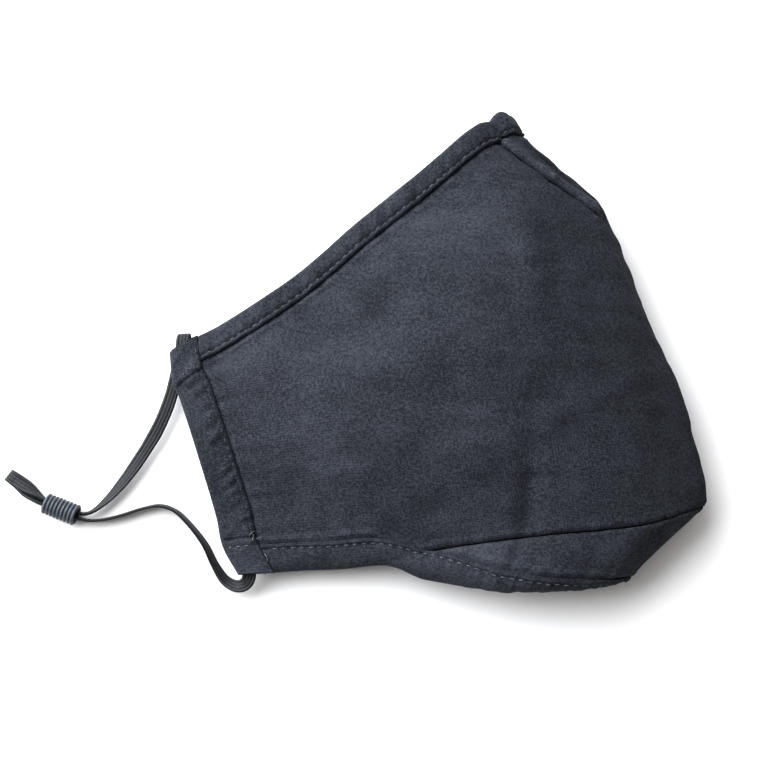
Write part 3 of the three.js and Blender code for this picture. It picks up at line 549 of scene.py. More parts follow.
def new_material(name):
    """An empty material with its Principled shader and its output already joined."""
    made = bpy.data.materials.new(name)
    made.use_nodes = True
    tree = made.node_tree
    tree.nodes.clear()
    shader = tree.nodes.new("ShaderNodeBsdfPrincipled")
    add_node(tree, "ShaderNodeOutputMaterial", [(shader.outputs[0], 0)])
    return made, tree, shader


def cotton_poplin(name, colour, light, weave):
    """Charcoal cotton poplin, plain woven from dyed yarn: matt, with a faint fuzz at grazing angles. Its colour carries
    painted highlight on raised cloth and painted shade down in creases and toward the centre fold. The weave is drawn
    at about three times its real spacing, because the real one is too fine to show."""
    made, tree, shader = new_material(name)
    place = add_node(tree, "ShaderNodeTexCoord")
    threads = add_node(tree, "ShaderNodeUVMap", uv_map="Cloth")
    tone = add_node(tree, "ShaderNodeAttribute", attribute_name="tone")
    warp = add_node(tree, "ShaderNodeTexWave", [(threads.outputs[0], 0)], bands_direction="X", scale=0.314 / weave,
                    distortion=1.2, detail=2.0)
    weft = add_node(tree, "ShaderNodeTexWave", [(threads.outputs[0], 0)], bands_direction="Y", scale=0.314 / weave,
                    distortion=1.2, detail=2.0)
    slub = add_node(tree, "ShaderNodeTexNoise", [(place.outputs["Object"], 0)], scale=1 / (0.75 * MM), detail=2.0,
                    roughness=0.7)
    wash = add_node(tree, "ShaderNodeTexNoise", [(place.outputs["Object"], 0)], scale=1 / (24 * MM), detail=4.0,
                    roughness=0.6)
    yarn = add_node(tree, "ShaderNodeMath", [(warp.outputs["Fac"], 0), (weft.outputs["Fac"], 1)], operation="MULTIPLY")
    fibres = add_node(tree, "ShaderNodeMix", [(slub.outputs["Fac"], "A"), (wash.outputs["Fac"], "B")], factor=0.3)
    spread = add_node(tree, "ShaderNodeMapRange", [(fibres.outputs[0], 0)], from_min=0.39, from_max=0.63)
    ramp = add_node(tree, "ShaderNodeMix", [(spread.outputs[0], "Factor")], data_type="RGBA")
    ramp.inputs[6].default_value = (*colour, 1)
    ramp.inputs[7].default_value = (*light, 1)
    # Painted shade and highlight: the tone scales the colour, darker in creases and toward the fold, paler on rises.
    painted_shading = add_node(tree, "ShaderNodeMapRange", [(tone.outputs["Fac"], 0)], from_min=-0.5, from_max=1.0, to_min=0.2,
                    to_max=1.4)
    worn = add_node(tree, "ShaderNodeVectorMath", [(ramp.outputs[2], 0), (painted_shading.outputs[0], "Scale")], operation="SCALE")
    height = add_node(tree, "ShaderNodeMix", [(yarn.outputs[0], "A"), (slub.outputs["Fac"], "B")], factor=0.5)
    bump = add_node(tree, "ShaderNodeBump", [(height.outputs[0], "Height")], strength=0.8, distance=0.25 * MM)
    tree.links.new(worn.outputs[0], shader.inputs["Base Color"])
    tree.links.new(bump.outputs[0], shader.inputs["Normal"])
    for socket, value in (("Roughness", 0.92), ("Specular IOR Level", 0.2), ("Sheen Weight", 0.08),
                          ("Sheen Roughness", 0.5)):
        shader.inputs[socket].default_value = value
    shader.inputs["Sheen Tint"].default_value = (0.8, 0.86, 1.0, 1)
    return made


def knitted_elastic(name, colour, light):
    """Flat knitted elastic: rubber cores wrapped in fine black nylon, so it is a little shinier than the cotton, with a
    painted grey highlight along the tops of its ribs and black between them."""
    made, tree, shader = new_material(name)
    threads = add_node(tree, "ShaderNodeUVMap", uv_map="Cloth")
    place = add_node(tree, "ShaderNodeTexCoord")
    rib_highlight = add_node(tree, "ShaderNodeAttribute", attribute_name="tone")
    wrap = add_node(tree, "ShaderNodeTexWave", [(threads.outputs[0], 0)], bands_direction="Y", scale=0.314 / 0.8,
                    distortion=1.0, detail=1.0)
    fuzz = add_node(tree, "ShaderNodeTexNoise", [(place.outputs["Object"], 0)], scale=1 / (1.2 * MM), detail=2.0)
    yarns = add_node(tree, "ShaderNodeMix", [(wrap.outputs["Fac"], "A"), (fuzz.outputs["Fac"], "B")], factor=0.75)
    # Painted highlight: the paler colour shows only along the rib tops that the tone marks.
    shown = add_node(tree, "ShaderNodeMath", [(yarns.outputs[0], 0), (rib_highlight.outputs["Fac"], 1)], operation="MULTIPLY")
    ramp = add_node(tree, "ShaderNodeMix", [(shown.outputs[0], "Factor")], data_type="RGBA")
    ramp.inputs[6].default_value = (*colour, 1)
    ramp.inputs[7].default_value = (*light, 1)
    bump = add_node(tree, "ShaderNodeBump", [(yarns.outputs[0], "Height")], strength=0.4, distance=0.1 * MM)
    tree.links.new(ramp.outputs[2], shader.inputs["Base Color"])
    tree.links.new(bump.outputs[0], shader.inputs["Normal"])
    for socket, value in (("Roughness", 0.6), ("Specular IOR Level", 0.4), ("Sheen Weight", 0.1)):
        shader.inputs[socket].default_value = value
    return made


def soft_silicone(name, colour, light):
    """Moulded grey silicone: satin, with the faint bloom of dust that it picks up."""
    made, tree, shader = new_material(name)
    place = add_node(tree, "ShaderNodeTexCoord")
    bloom = add_node(tree, "ShaderNodeTexNoise", [(place.outputs["Object"], 0)], scale=1 / (1.5 * MM), detail=3.0)
    ramp = add_node(tree, "ShaderNodeMix", [(bloom.outputs["Fac"], "Factor")], data_type="RGBA")
    ramp.inputs[6].default_value = (*colour, 1)
    ramp.inputs[7].default_value = (*light, 1)
    bump = add_node(tree, "ShaderNodeBump", [(bloom.outputs["Fac"], "Height")], strength=0.2, distance=0.05 * MM)
    tree.links.new(ramp.outputs[2], shader.inputs["Base Color"])
    tree.links.new(bump.outputs[0], shader.inputs["Normal"])
    for socket, value in (("Roughness", 0.45), ("Specular IOR Level", 0.45)):
        shader.inputs[socket].default_value = value
    return made


def spun_thread(name, colour, light):
    """Polyester sewing thread: two plies, slightly glossy, and coloured paler than the cloth that it holds."""
    made, tree, shader = new_material(name)
    place = add_node(tree, "ShaderNodeTexCoord")
    ply = add_node(tree, "ShaderNodeTexNoise", [(place.outputs["Object"], 0)], scale=1 / (0.8 * MM), detail=1.0)
    spread = add_node(tree, "ShaderNodeMapRange", [(ply.outputs["Fac"], 0)], from_min=0.35, from_max=0.65)
    ramp = add_node(tree, "ShaderNodeMix", [(spread.outputs[0], "Factor")], data_type="RGBA")
    ramp.inputs[6].default_value = (*colour, 1)
    ramp.inputs[7].default_value = (*light, 1)
    tree.links.new(ramp.outputs[2], shader.inputs["Base Color"])
    for socket, value in (("Roughness", 0.5), ("Sheen Weight", 0.2)):
        shader.inputs[socket].default_value = value
    return made


def painted_board(name, colour):
    """Matt white board that the mask lies on: nearly even, with a trace of unevenness."""
    made, tree, shader = new_material(name)
    place = add_node(tree, "ShaderNodeTexCoord")
    cloud = add_node(tree, "ShaderNodeTexNoise", [(place.outputs["Object"], 0)], scale=1 / (180 * MM), detail=2.0)
    ramp = add_node(tree, "ShaderNodeMix", [(cloud.outputs["Fac"], "Factor")], data_type="RGBA")
    ramp.inputs[6].default_value = (*colour, 1)
    ramp.inputs[7].default_value = (*[min(1.0, c * 1.03) for c in colour], 1)
    tree.links.new(ramp.outputs[2], shader.inputs["Base Color"])
    for socket, value in (("Roughness", 0.8), ("Specular IOR Level", 0.2)):
        shader.inputs[socket].default_value = value
    return made


# ---------------------------------------------------------------- fine relief of the cloth

BAND_WIDTH, CASING_WIDTH = 8.5, 10.9
STITCH_IN = 1.25  # from the free edge of a folded strip to its stitches
TURN_LENGTH = 146.0  # about how long one half is along its edges, per unit of turn


def ear_distance(turn, along):
    """How far a point is from its ear edge."""
    return (1 - np.abs(turn)) / (1 - ROUND_SHARE) * ROUND_AT * np.interp(along, ACROSS, ROW_LENGTH)


def gathers(at, spacing, seed):
    """Gathers along a seam, between -1 and 1: a wave whose spacing drifts, with rounded tops and narrow valleys."""
    phase = 2 * np.pi * at / spacing + 1.5 * wander(5 * spacing, at, seed)
    wave = np.sin(phase)
    return (1 - 2 * ((1 - wave) / 2) ** 1.6) * (0.6 + 0.4 * wander(3.3 * spacing, at, seed + 1))


def front_relief(turn, rise, depth):
    """Fine relief of the main cloth: soft lumps, gathers that fade away from each seam, and a dip into the seams. It
    is level where the strips cover it. The second result leaves most of the lumps out, and is the tone: painted shade
    in the seams' dips and a painted highlight on the rolls beside the strips."""
    top, chin = reach(turn), chin_height(turn)
    along = rise / top
    ear, from_top, from_hem = ear_distance(turn, along), top - rise, rise
    x, y = turn * TURN_LENGTH, rise
    lumps = 0.3 * ripple(30, x, y, 3) + 0.13 * ripple(12, x, y, 4) + 0.05 * ripple(5, x, y, 5)
    past_band, past_casing = from_top - BAND_WIDTH, ear - CASING_WIDTH
    past_hem = np.where(chin < 1, from_hem - BAND_WIDTH, 99)
    past_seam = np.where(chin >= 1, rise - chin, 99)
    total = lumps
    for past, at, spacing, height, run, seed in (
        (past_band, x, 7.5, 0.3, 5.5, 11), (past_hem, x, 7.0, 0.32, 5.0, 12),
        (past_casing, rise, 6.4, 0.36, 7.0, 13), (past_seam, x, 6.0, 0.22, 4.0, 14),
    ):
        total = total + depth * height * gathers(at, spacing, seed) * np.exp(-np.maximum(past, 0) / run)
    covered = smooth(-0.6, 1.6, past_band) * smooth(-0.6, 1.6, past_casing) * smooth(-0.6, 1.6, past_hem)
    rolls = sum(0.45 * bell(past - 1.7, 0.9) for past in (past_band, past_hem)) + 0.25 * bell(past_casing - 1.6, 0.9)
    seam_dip = -0.45 * np.exp(-np.maximum(past_seam, 0) / 0.8) + 0.3 * bell(past_seam - 1.8, 1.0)
    return total * covered + rolls + seam_dip, (total - 0.85 * lumps) * covered + rolls + seam_dip


def chin_relief(turn, rise, depth):
    """Fine relief of the chin piece: lumps and gathers between its seam and the hem band, and a dip into the seam."""
    chin = chin_height(turn)
    x = turn * TURN_LENGTH
    past_hem, past_seam = rise - BAND_WIDTH, chin - rise
    total = 0.2 * ripple(24, x, rise, 6) + 0.1 * ripple(9, x, rise, 7)
    total = total + depth * 0.3 * gathers(x, 6.5, 15) * np.exp(-np.maximum(past_hem, 0) / 5)
    total = total + depth * 0.2 * gathers(x, 5.5, 16) * np.exp(-np.maximum(past_seam, 0) / 3)
    roll = 0.45 * bell(past_hem - 1.7, 0.9) + 0.25 * bell(past_seam - 1.6, 0.9)
    relief = total * smooth(-0.6, 1.6, past_hem) + roll - 0.45 * np.exp(-np.maximum(past_seam, 0) / 0.8)
    # The second copy is the tone: painted shade in the seam's dip and a painted highlight on the roll.
    return relief, relief


def strip_relief(at, distance, width, depth, seed, spacing=6.0, stitch_in=STITCH_IN):
    """Fine relief of a folded strip's face: a soft crown, gathers that start at its stitches, a groove along the
    stitches with a pull at each one, and a rounded free edge with a small rim."""
    stitches = width - stitch_in
    crown = 0.3 * np.sin(np.pi * np.clip((distance - 1.5) / (stitches - 1.5), 0, 1))
    body = gathers(at, spacing, seed) * (0.1 + 0.9 * smooth(0, stitches, distance))
    lumps = 0.14 * ripple(11, at, distance, seed + 2) + 0.06 * ripple(4.5, at, distance, seed + 3)
    groove = bell(distance - stitches, 0.55) * (0.34 + 0.12 * np.sin(2 * np.pi * at / 2.8))
    ticks = 0.15 * depth * np.sin(2 * np.pi * at / 2.8 + 1) * bell(distance - stitches + 1.3, 1.1)
    rim = 0.22 * bell(distance - (width - 0.5), 0.35)
    lip = 0.5 * smooth(width - 0.4, width, distance)
    return (crown + depth * 0.3 * body + lumps) * smooth(0, 1.5, distance) + ticks - groove + rim - lip


# ---------------------------------------------------------------- main cloth and chin piece

# Painted shade and highlight along the dart: darker in its groove and paler on its ridge. Painted shade toward the
# centre fold, and a weaker, broader one beside it, where the cloth turns away from the light.
DART_TONE, DART_TONE_MOST = 0.55, 1.6
FOLD_SHADE, FOLD_SHADE_TURN = 1.0, 0.12
SIDE_SHADE, SIDE_SHADE_TURNS = 0.5, (0.5, 0.05)


def cloth_wall(name, turn, rise, reliefs, material):
    """A wall of cloth with relief on both its faces, and with its threads' lengths in millimetres as its UV map. Its
    tone follows the relief as painted shade and highlight, and besides that painted shade darkens the cloth toward the
    centre fold."""
    relief, painted_shading = reliefs
    dart = fold_height(cloth(turn, rise), NOSE_FOLDS) * smooth(0, 0.07, turn)
    painted_shading = painted_shading + DART_TONE * np.clip(dart, -DART_TONE_MOST, DART_TONE_MOST)
    along = rise / reach(turn)
    # Painted shade: darker toward the centre fold, and more faintly over the half beside it.
    near_fold = smooth(FOLD_SHADE_TURN, 0, np.abs(turn)) * smooth(1.0, 0.85, along)
    beside = smooth(*SIDE_SHADE_TURNS, np.abs(turn)) * smooth(0.95, 0.55, along)
    painted_shading = painted_shading - FOLD_SHADE * near_fold - SIDE_SHADE * beside
    normal = outward(turn, rise)
    moved = cloth(turn, rise) + normal * relief[..., None]
    outer, inner = moved + normal * PANEL_WALL / 2, moved - normal * PANEL_WALL / 2
    for face in (outer, inner):
        face[..., 2] = np.maximum(face[..., 2], 0)
    uv = np.stack([turn * TURN_LENGTH, rise], -1)
    return wall(name, outer, inner[::2, ::2], material, uv, PLAIN_TONE + TONE_PER_MM * painted_shading, 2)


def build_front_panel(material, depth):
    """The main cloth: stations run from the lower ear to the upper one, and rows run up from the seam or the hem."""
    station, up = np.linspace(-1, 1, 401)[:, None], np.linspace(0, 1, 189)[None, :]
    limit = turn_from_ear(CASING_WIDTH - CASING_GRIP, up, np.sign(station))
    turn = station_turn(station, limit)
    rise = mix(np.maximum(HEM_TUCK, chin_height(turn) + SEAM_GAP), reach(turn) - HEM_TUCK, up)
    return cloth_wall("front_cloth", turn, rise, front_relief(turn, rise, depth), material)


def build_chin_panel(material, depth):
    """The chin piece: from inside the hem band up to its seam with the main cloth."""
    turn = np.linspace(-CHIN_HALF_TURN, CHIN_HALF_TURN, 261)[:, None] + np.zeros((1, 41))
    rise = mix(HEM_TUCK, chin_height(turn) - SEAM_GAP, np.linspace(0, 1, 41)[None, :])
    return cloth_wall("chin_cloth", turn, rise, chin_relief(turn, rise, depth), material)


# ---------------------------------------------------------------- folded strips


def folded_profile(width, turn_in):
    """Section of a strip folded over an edge, as distance from the edge, height off the cloth, and how far a point
    shares the faces' relief: 1 on the outer leaf and -1 on the inner one."""
    leaf_in, count = STRIP_HALF - LEAF_WALL, 13
    half = np.linspace(np.pi / 2, -np.pi / 2, count)
    face_out, face_in = np.linspace(width, STRIP_HALF, 22)[:-1], np.linspace(STRIP_HALF, turn_in, 10)[1:]
    tip = np.linspace(0, np.pi, 5)[1:-1]
    rows = [
        (face_out, np.full(21, STRIP_HALF), np.ones(21)),
        (STRIP_HALF - STRIP_HALF * np.cos(half), STRIP_HALF * np.sin(half), np.sin(half)),
        (face_in, np.full(9, -STRIP_HALF), -np.ones(9)),
        (turn_in + 0.2 * np.sin(tip), -STRIP_HALF + 0.5 * (1 - np.cos(tip)), -0.5 * (1 + np.cos(tip))),
        (np.linspace(turn_in, STRIP_HALF, 4), np.full(4, -leaf_in), np.zeros(4)),
        ((STRIP_HALF - leaf_in * np.cos(half[::-1]))[2:-2:2], (leaf_in * np.sin(half[::-1]))[2:-2:2], np.zeros(5)),
        (np.linspace(STRIP_HALF, width, 5), np.full(5, leaf_in), np.zeros(5)),
        (width + 0.25 * np.sin(tip), leaf_in + 0.5 * (1 - np.cos(tip)), 0.5 * (1 - np.cos(tip))),
    ]
    return [np.concatenate(column) for column in zip(*rows)]


TOP_SEED, HEM_SEED, CASING_SEED = 21, 31, 41


def top_band_at(turn, distance, off):
    """A point of the top band, by its distance down from the top edge."""
    return set_off(turn, reach(turn) - distance, off)


def hem_band_at(turn, distance, off):
    """A point of the hem band, by its distance up from the hem."""
    return set_off(turn, distance, off)


def casing_at(half):
    """The points of an ear casing, by their share of its height and their distance from the ear edge."""

    def at(along, distance, off):
        turn = turn_from_ear(distance, along, half)
        return set_off(turn, along * reach(turn), off)

    return at


def band_relief(turn, distance, depth, seed):
    """A band's relief. The hem's fold is pulled smooth, so it has about half of the top band's gathers."""
    return strip_relief(turn * TURN_LENGTH, distance, BAND_WIDTH, depth * (0.5 if seed == HEM_SEED else 1), seed)


CASING_HEIGHT = 71.0
CASING_STITCH_IN = 0.75


def casing_lines(distance):
    """Heights of the two lines across a casing, under which the ends of the bands lie."""
    return 9.9, CASING_HEIGHT - mix(12.0, 10.2, distance / CASING_WIDTH)


def casing_relief(along, distance, depth, seed):
    """The casing's own relief, raised at each end where it lies over the end of a band, with a crease at the step."""
    height = along * CASING_HEIGHT
    low, high = casing_lines(distance)
    step = 0.3 * smooth(high - 0.2, high + 0.9, height) + 0.3 * smooth(low + 0.2, low - 0.9, height)
    crease = -0.4 * bell(height - high + 0.35, 0.45) - 0.5 * bell(height - low - 0.35, 0.45)
    crease = crease - 0.3 * bell(height - low + 1.9, 0.5)
    plain = strip_relief(height - 0.55 * distance, distance, CASING_WIDTH, depth * 0.5, seed, 9.0, CASING_STITCH_IN)
    puckers = gathers(height - 0.3 * distance, 4.7, seed + 7) * smooth(3.0, 7.0, distance) * smooth(10.3, 9.2, distance)
    middle = smooth(12, 16, height) * smooth(62, 56, height)
    return (step + crease) * smooth(0.3, 2.0, distance) + plain + depth * 0.28 * middle * puckers


def build_band(name, at, reverse, material, depth, seed):
    """A band along the top edge or the hem, as rings of its folded section at stations from ear to ear."""
    distance, off, share = folded_profile(BAND_WIDTH, BAND_TURN_IN)
    if reverse:
        distance, off, share = distance[::-1], off[::-1], share[::-1]
    station = np.linspace(-1, 1, 521)[:, None]
    distance, off, share = distance[None, :], off[None, :], share[None, :]
    height = reach(np.sign(station) * 0.93)
    along = distance / height if reverse else 1 - distance / height
    turn = station_turn(station, turn_from_ear(CASING_WIDTH + PIECE_GAP, along, np.sign(station)))
    relief = band_relief(turn, distance, depth, seed) * share
    rings = at(turn, distance, off + relief)
    uv = np.stack(np.broadcast_arrays(turn * TURN_LENGTH, distance * np.sign(off + 1e-9)), -1)
    # The tone is painted shade in the band's grooves and creases and a painted highlight on its raised parts.
    return rings_piece(name, rings, material, False, uv, STRIP_TONE + STRIP_TONE_PER_MM * relief * np.sign(off))


def build_casing(name, half, material, depth, seed):
    """An ear casing, as rings of its folded section up the ear edge."""
    distance, off, share = folded_profile(CASING_WIDTH, CASING_WIDTH)
    if half > 0:
        distance, off, share = distance[::-1], off[::-1], share[::-1]
    distance, off, share = distance[None, :], off[None, :], share[None, :]
    along = np.linspace(0, 1, 301)[:, None]
    relief = casing_relief(along, distance, depth, seed) * share
    rings = casing_at(half)(along, distance, off + relief)
    uv = np.stack(np.broadcast_arrays(distance * np.sign(off + 1e-9), along * CASING_HEIGHT), -1)
    # The tone is painted shade in the casing's grooves and creases and a painted highlight on its raised parts.
    return rings_piece(name, rings, material, False, uv, STRIP_TONE + STRIP_TONE_PER_MM * relief * np.sign(off))


# ---------------------------------------------------------------- stitching


def stitch_paths(line, surface, length, gap, radius):
    """Stitches along a line: surface turns shares of the line into points, and each stitch starts and ends in the
    cloth and lies a little proud of it between."""
    fine = surface(line, np.zeros_like(line))
    run = np.concatenate([[0], np.cumsum(span(fine[1:], fine[:-1]))])
    starts = np.arange(1.0, run[-1] - length - 0.5, length + gap)
    t = np.linspace(0, 1, 5)
    at = np.interp(starts[:, None] + t[None] * length, run, line)
    rise = radius * (0.75 - 2.6 * np.abs(2 * t - 1) ** 3)
    return surface(at, np.broadcast_to(rise, at.shape))


def strip_stitches(sizes):
    """The sewing of the bands and of the casings, with short rows across the casings by the ends of the bands, as
    paths.
    """
    length, gap, radius = (1000 * size for size in (sizes.stitch_length, sizes.stitch_gap, sizes.thread_radius))
    depth, bands, casings, ends = sizes.gathers, [], [], 0.932

    def casing_face(half, side, height, distance, above):
        off = STRIP_HALF + casing_relief(height / CASING_HEIGHT, distance, depth, CASING_SEED) + above
        return casing_at(half)(height / CASING_HEIGHT, distance, side * off)

    for at, seed in ((top_band_at, TOP_SEED), (hem_band_at, HEM_SEED)):
        for side, inset in ((1, BAND_WIDTH - STITCH_IN), (-1, BAND_TURN_IN - 0.8)):

            def surface(turn, above, at=at, seed=seed, side=side, inset=inset):
                off = STRIP_HALF + band_relief(turn, inset, depth, seed) + above
                return at(turn, inset, side * off)

            bands.append(stitch_paths(np.linspace(-ends, ends, 1200), surface, length, gap, radius))
    for half in (1, -1):
        for side in (1, -1):

            def surface(height, above, half=half, side=side):
                return casing_face(half, side, height, CASING_WIDTH - CASING_STITCH_IN, above)

            casings.append(stitch_paths(np.linspace(0.4, 70.6, 400), surface, length, gap, radius))

        def low_row(distance, above, half=half):
            return casing_face(half, 1, casing_lines(distance)[0] - 1.9, distance, above)

        def high_row(distance, above, half=half):
            return casing_face(half, 1, casing_lines(distance)[1] + 1.6, distance, above)

        bands.append(stitch_paths(np.linspace(0.6, 9.4, 60), low_row, 1.7, 0.8, radius))
        bands.append(stitch_paths(np.linspace(3.6, 9.4, 60), high_row, 1.0, 0.3, radius))
    return np.concatenate(bands), np.concatenate(casings)


def thread_ends(depth):
    """Loose ends of thread at the lower corner of the upper casing: each is a bent line lying on the cloth."""
    t = np.linspace(0, 1, 9)
    paths = []
    for height, distance, run, climb, bend in (
        (8.6, 8.9, 1.6, 2.4, 0.5), (10.4, 9.3, 2.2, 1.5, -0.6),
        (5.4, 11.4, -0.5, -2.4, 0.4), (9.6, 10.9, 1.8, 0.5, 0.5),
    ):
        up, out = height + climb * t, distance + run * t + bend * np.sin(np.pi * t)
        paths.append(casing_at(1)(up / CASING_HEIGHT, out, STRIP_HALF + 0.35 + 0.35 * np.sin(np.pi * t)))
    return np.array(paths)


# ---------------------------------------------------------------- elastic ear loops

ELASTIC_WIDTH, ELASTIC_THICK = 4.2, 0.9
PINCHED_WIDTH, PINCHED_THICK = 2.8, 1.1

# Each row of a loop is a point of its path (x, y, z), the heading of the ribbon's width seen from above, how far the
# width is tipped up, and how much the ribbon is pinched together.
LEFT_ELASTIC = [
    (-74.1, -20.4, 8.75, 17, 3, 0), (-76.8, -13.4, 8.9, 19, 3, 0), (-79, -6.6, 8.85, 13, 2, 0),
    (-79.4, 0.3, 9, 7, 0, 0), (-79.3, 3.3, 8.75, 5, 0, 0), (-79.2, 4.7, 7.1, 4, 0, 0), (-79.2, 3.6, 5.6, 0, 0, 0),
    (-80.4, -1.2, 5.1, -6, 0, 0), (-81.8, -9, 5, -11, 0, 0), (-84.2, -18, 4.8, -19, 0, 0), (-87.6, -26, 4.3, -26, 0, 0),
    (-92.7, -34.6, 3.6, -33, 10, 0), (-98.4, -42.6, 3, -40, 30, 0), (-103.8, -48.6, 2.9, -52, 52, 0.2),
    (-108.2, -51.8, 3.2, -80, 75, 0.7), (-111.7, -52, 3.5, -110, 90, 1), (-121.7, -48.1, 3.5, -110, 90, 1),
    (-124.8, -45.9, 3.2, -118, 62, 0.4), (-128.3, -43.5, 2.6, -125, 28, 0), (-131.6, -41.5, 2.3, -125, 4, 0),
    (-133.8, -40.1, 2.05, -125, 0, 0), (-134.5, -39.7, 1.35, -125, 0, 0), (-133.8, -40.3, 0.7, -125, 0, 0),
    (-131.6, -42, 0.65, -125, 4, 0), (-128.5, -44.9, 1.5, -125, 28, 0), (-125.3, -47.6, 2.8, -118, 62, 0.4),
    (-122.3, -49.4, 3.5, -110, 90, 1), (-112.3, -53.3, 3.5, -110, 90, 1), (-108.4, -54.2, 3.1, -95, 84, 0.6),
    (-103.8, -53.9, 2.7, -82, 80, 0.1), (-98.4, -52.6, 2.5, -77, 78, 0), (-92.2, -50.6, 2.5, -75, 78, 0),
    (-86.3, -49.5, 2.5, -92, 78, 0), (-81.3, -51.1, 2.5, -120, 78, 0), (-76.6, -55.4, 2.5, -142, 76, 0),
    (-71.6, -61.7, 2.5, -149, 70, 0), (-68.3, -68, 2.7, -147, 60, 0), (-64.8, -72.8, 3.7, -122, 48, 0),
    (-61.1, -74.6, 5.4, -84, 34, 0), (-58.2, -73.9, 7.2, -38, 12, 0), (-57, -71.4, 8.1, 2, 0, 0),
    (-59, -66.9, 8.1, 28, 0, 0), (-61.5, -61.4, 8.15, 21, 0, 0), (-64.6, -49.2, 8.3, 16, 0, 0),
    (-69.3, -34.8, 8.5, 18, 2, 0),
]

# The lower half's elastic is tucked into the hollow and lies on the inside of the lower cloth.
RIGHT_ELASTIC = [
    (-71.8, -21.3, 1.95, 18, 0, 0), (-74.4, -15, 1.95, 20, 0, 0), (-76.7, -9, 1.95, 15, 0, 0),
    (-77.5, -2.4, 1.95, 3, 0, 0), (-77, 0.3, 2.2, 3, 0, 0), (-76.1, 1.6, 3.4, 8, 0, 0), (-75.1, 0.3, 4.7, 14, 0, 0),
    (-73, -4.4, 5, 24, 0, 0), (-68.2, -10.6, 5, 42, 0, 0), (-61.6, -15.2, 4.4, 60, 0, 0), (-53.2, -17.8, 3, 76, 0, 0),
    (-43.4, -20, 2.3, 72, 4, 0), (-31.5, -24.4, 2.2, 58, 8, 0), (-20.6, -30.6, 2.5, 56, 28, 0),
    (-13.2, -34.4, 3.7, 62, 62, 0.6), (-8.5, -36.3, 4.8, 90, 90, 1), (2.5, -36.3, 4.8, 90, 90, 1),
    (6.2, -36, 4.5, 90, 62, 0.4), (10.1, -36.1, 3.9, 90, 28, 0), (13.9, -36.7, 3.5, 90, 4, 0),
    (16.3, -36.9, 3.3, 90, 0, 0), (17, -37, 2.6, 90, 0, 0), (16.3, -37.1, 1.95, 90, 0, 0),
    (13.9, -37.3, 1.9, 90, 4, 0), (10.1, -38, 2.8, 90, 28, 0), (6.2, -38.1, 4.1, 90, 62, 0.4),
    (2.5, -37.7, 4.8, 90, 90, 1), (-8.5, -37.7, 4.8, 90, 90, 1), (-12.8, -38.9, 3.8, 112, 62, 0.6),
    (-20.4, -41.6, 2.6, 118, 25, 0), (-30.1, -44.8, 2.2, 112, 6, 0), (-40.6, -47.8, 2.3, 116, 2, 0),
    (-47.4, -52.6, 3.7, 134, 0, 0), (-51.4, -59, 5, 158, 0, 0), (-53.5, -66.4, 5, 174, 0, 0),
    (-53.9, -69.3, 4.8, 179, 0, 0), (-54, -70.4, 3.45, 180, 0, 0), (-54.1, -69.3, 2.1, 180, 0, 0),
    (-55.2, -66.6, 1.95, 200, 0, 0), (-58.2, -61.4, 1.95, 207, 0, 0), (-60.3, -54.8, 1.95, 198, 0, 0),
    (-64.6, -41.7, 1.95, 198, 0, 0), (-68.2, -31.2, 1.95, 198, 0, 0),
]


def loop_path(rows, steps):
    """A closed centripetal Catmull-Rom curve through the rows: a cubic for each pair of neighbours, whose end slopes
    weigh the chords on both sides by the square roots of their lengths. Its other columns are mixed between rows, and
    headings turn the short way round within half a turn."""
    data = np.array(rows, float)
    p0, p1, p2, p3 = (np.roll(data, 1 - k, axis=0) for k in range(4))
    gap = [np.sqrt(span(b[:, :3], a[:, :3]))[:, None] for a, b in ((p0, p1), (p1, p2), (p2, p3))]
    x0, x1, x2, x3 = (p[:, :3] for p in (p0, p1, p2, p3))
    start = ((x1 - x0) / gap[0] - (x2 - x0) / (gap[0] + gap[1]) + (x2 - x1) / gap[1]) * gap[1]
    end = ((x2 - x1) / gap[1] - (x3 - x1) / (gap[1] + gap[2]) + (x3 - x2) / gap[2]) * gap[1]
    t = (np.arange(steps) / steps)[None, :, None]
    x1, x2, start, end = (a[:, None] for a in (x1, x2, start, end))
    centres = x1 + start * t + (3 * (x2 - x1) - 2 * start - end) * t**2 + (2 * (x1 - x2) + start + end) * t**3
    share = t[..., 0]
    turn = (p2[:, 3] - p1[:, 3] + 90) % 180 - 90
    heading = p1[:, 3:4] + turn[:, None] * share
    tilt, pinch = (mix(p1[:, k : k + 1], p2[:, k : k + 1], share) for k in (4, 5))
    return centres.reshape(-1, 3), heading.ravel(), tilt.ravel(), pinch.ravel()


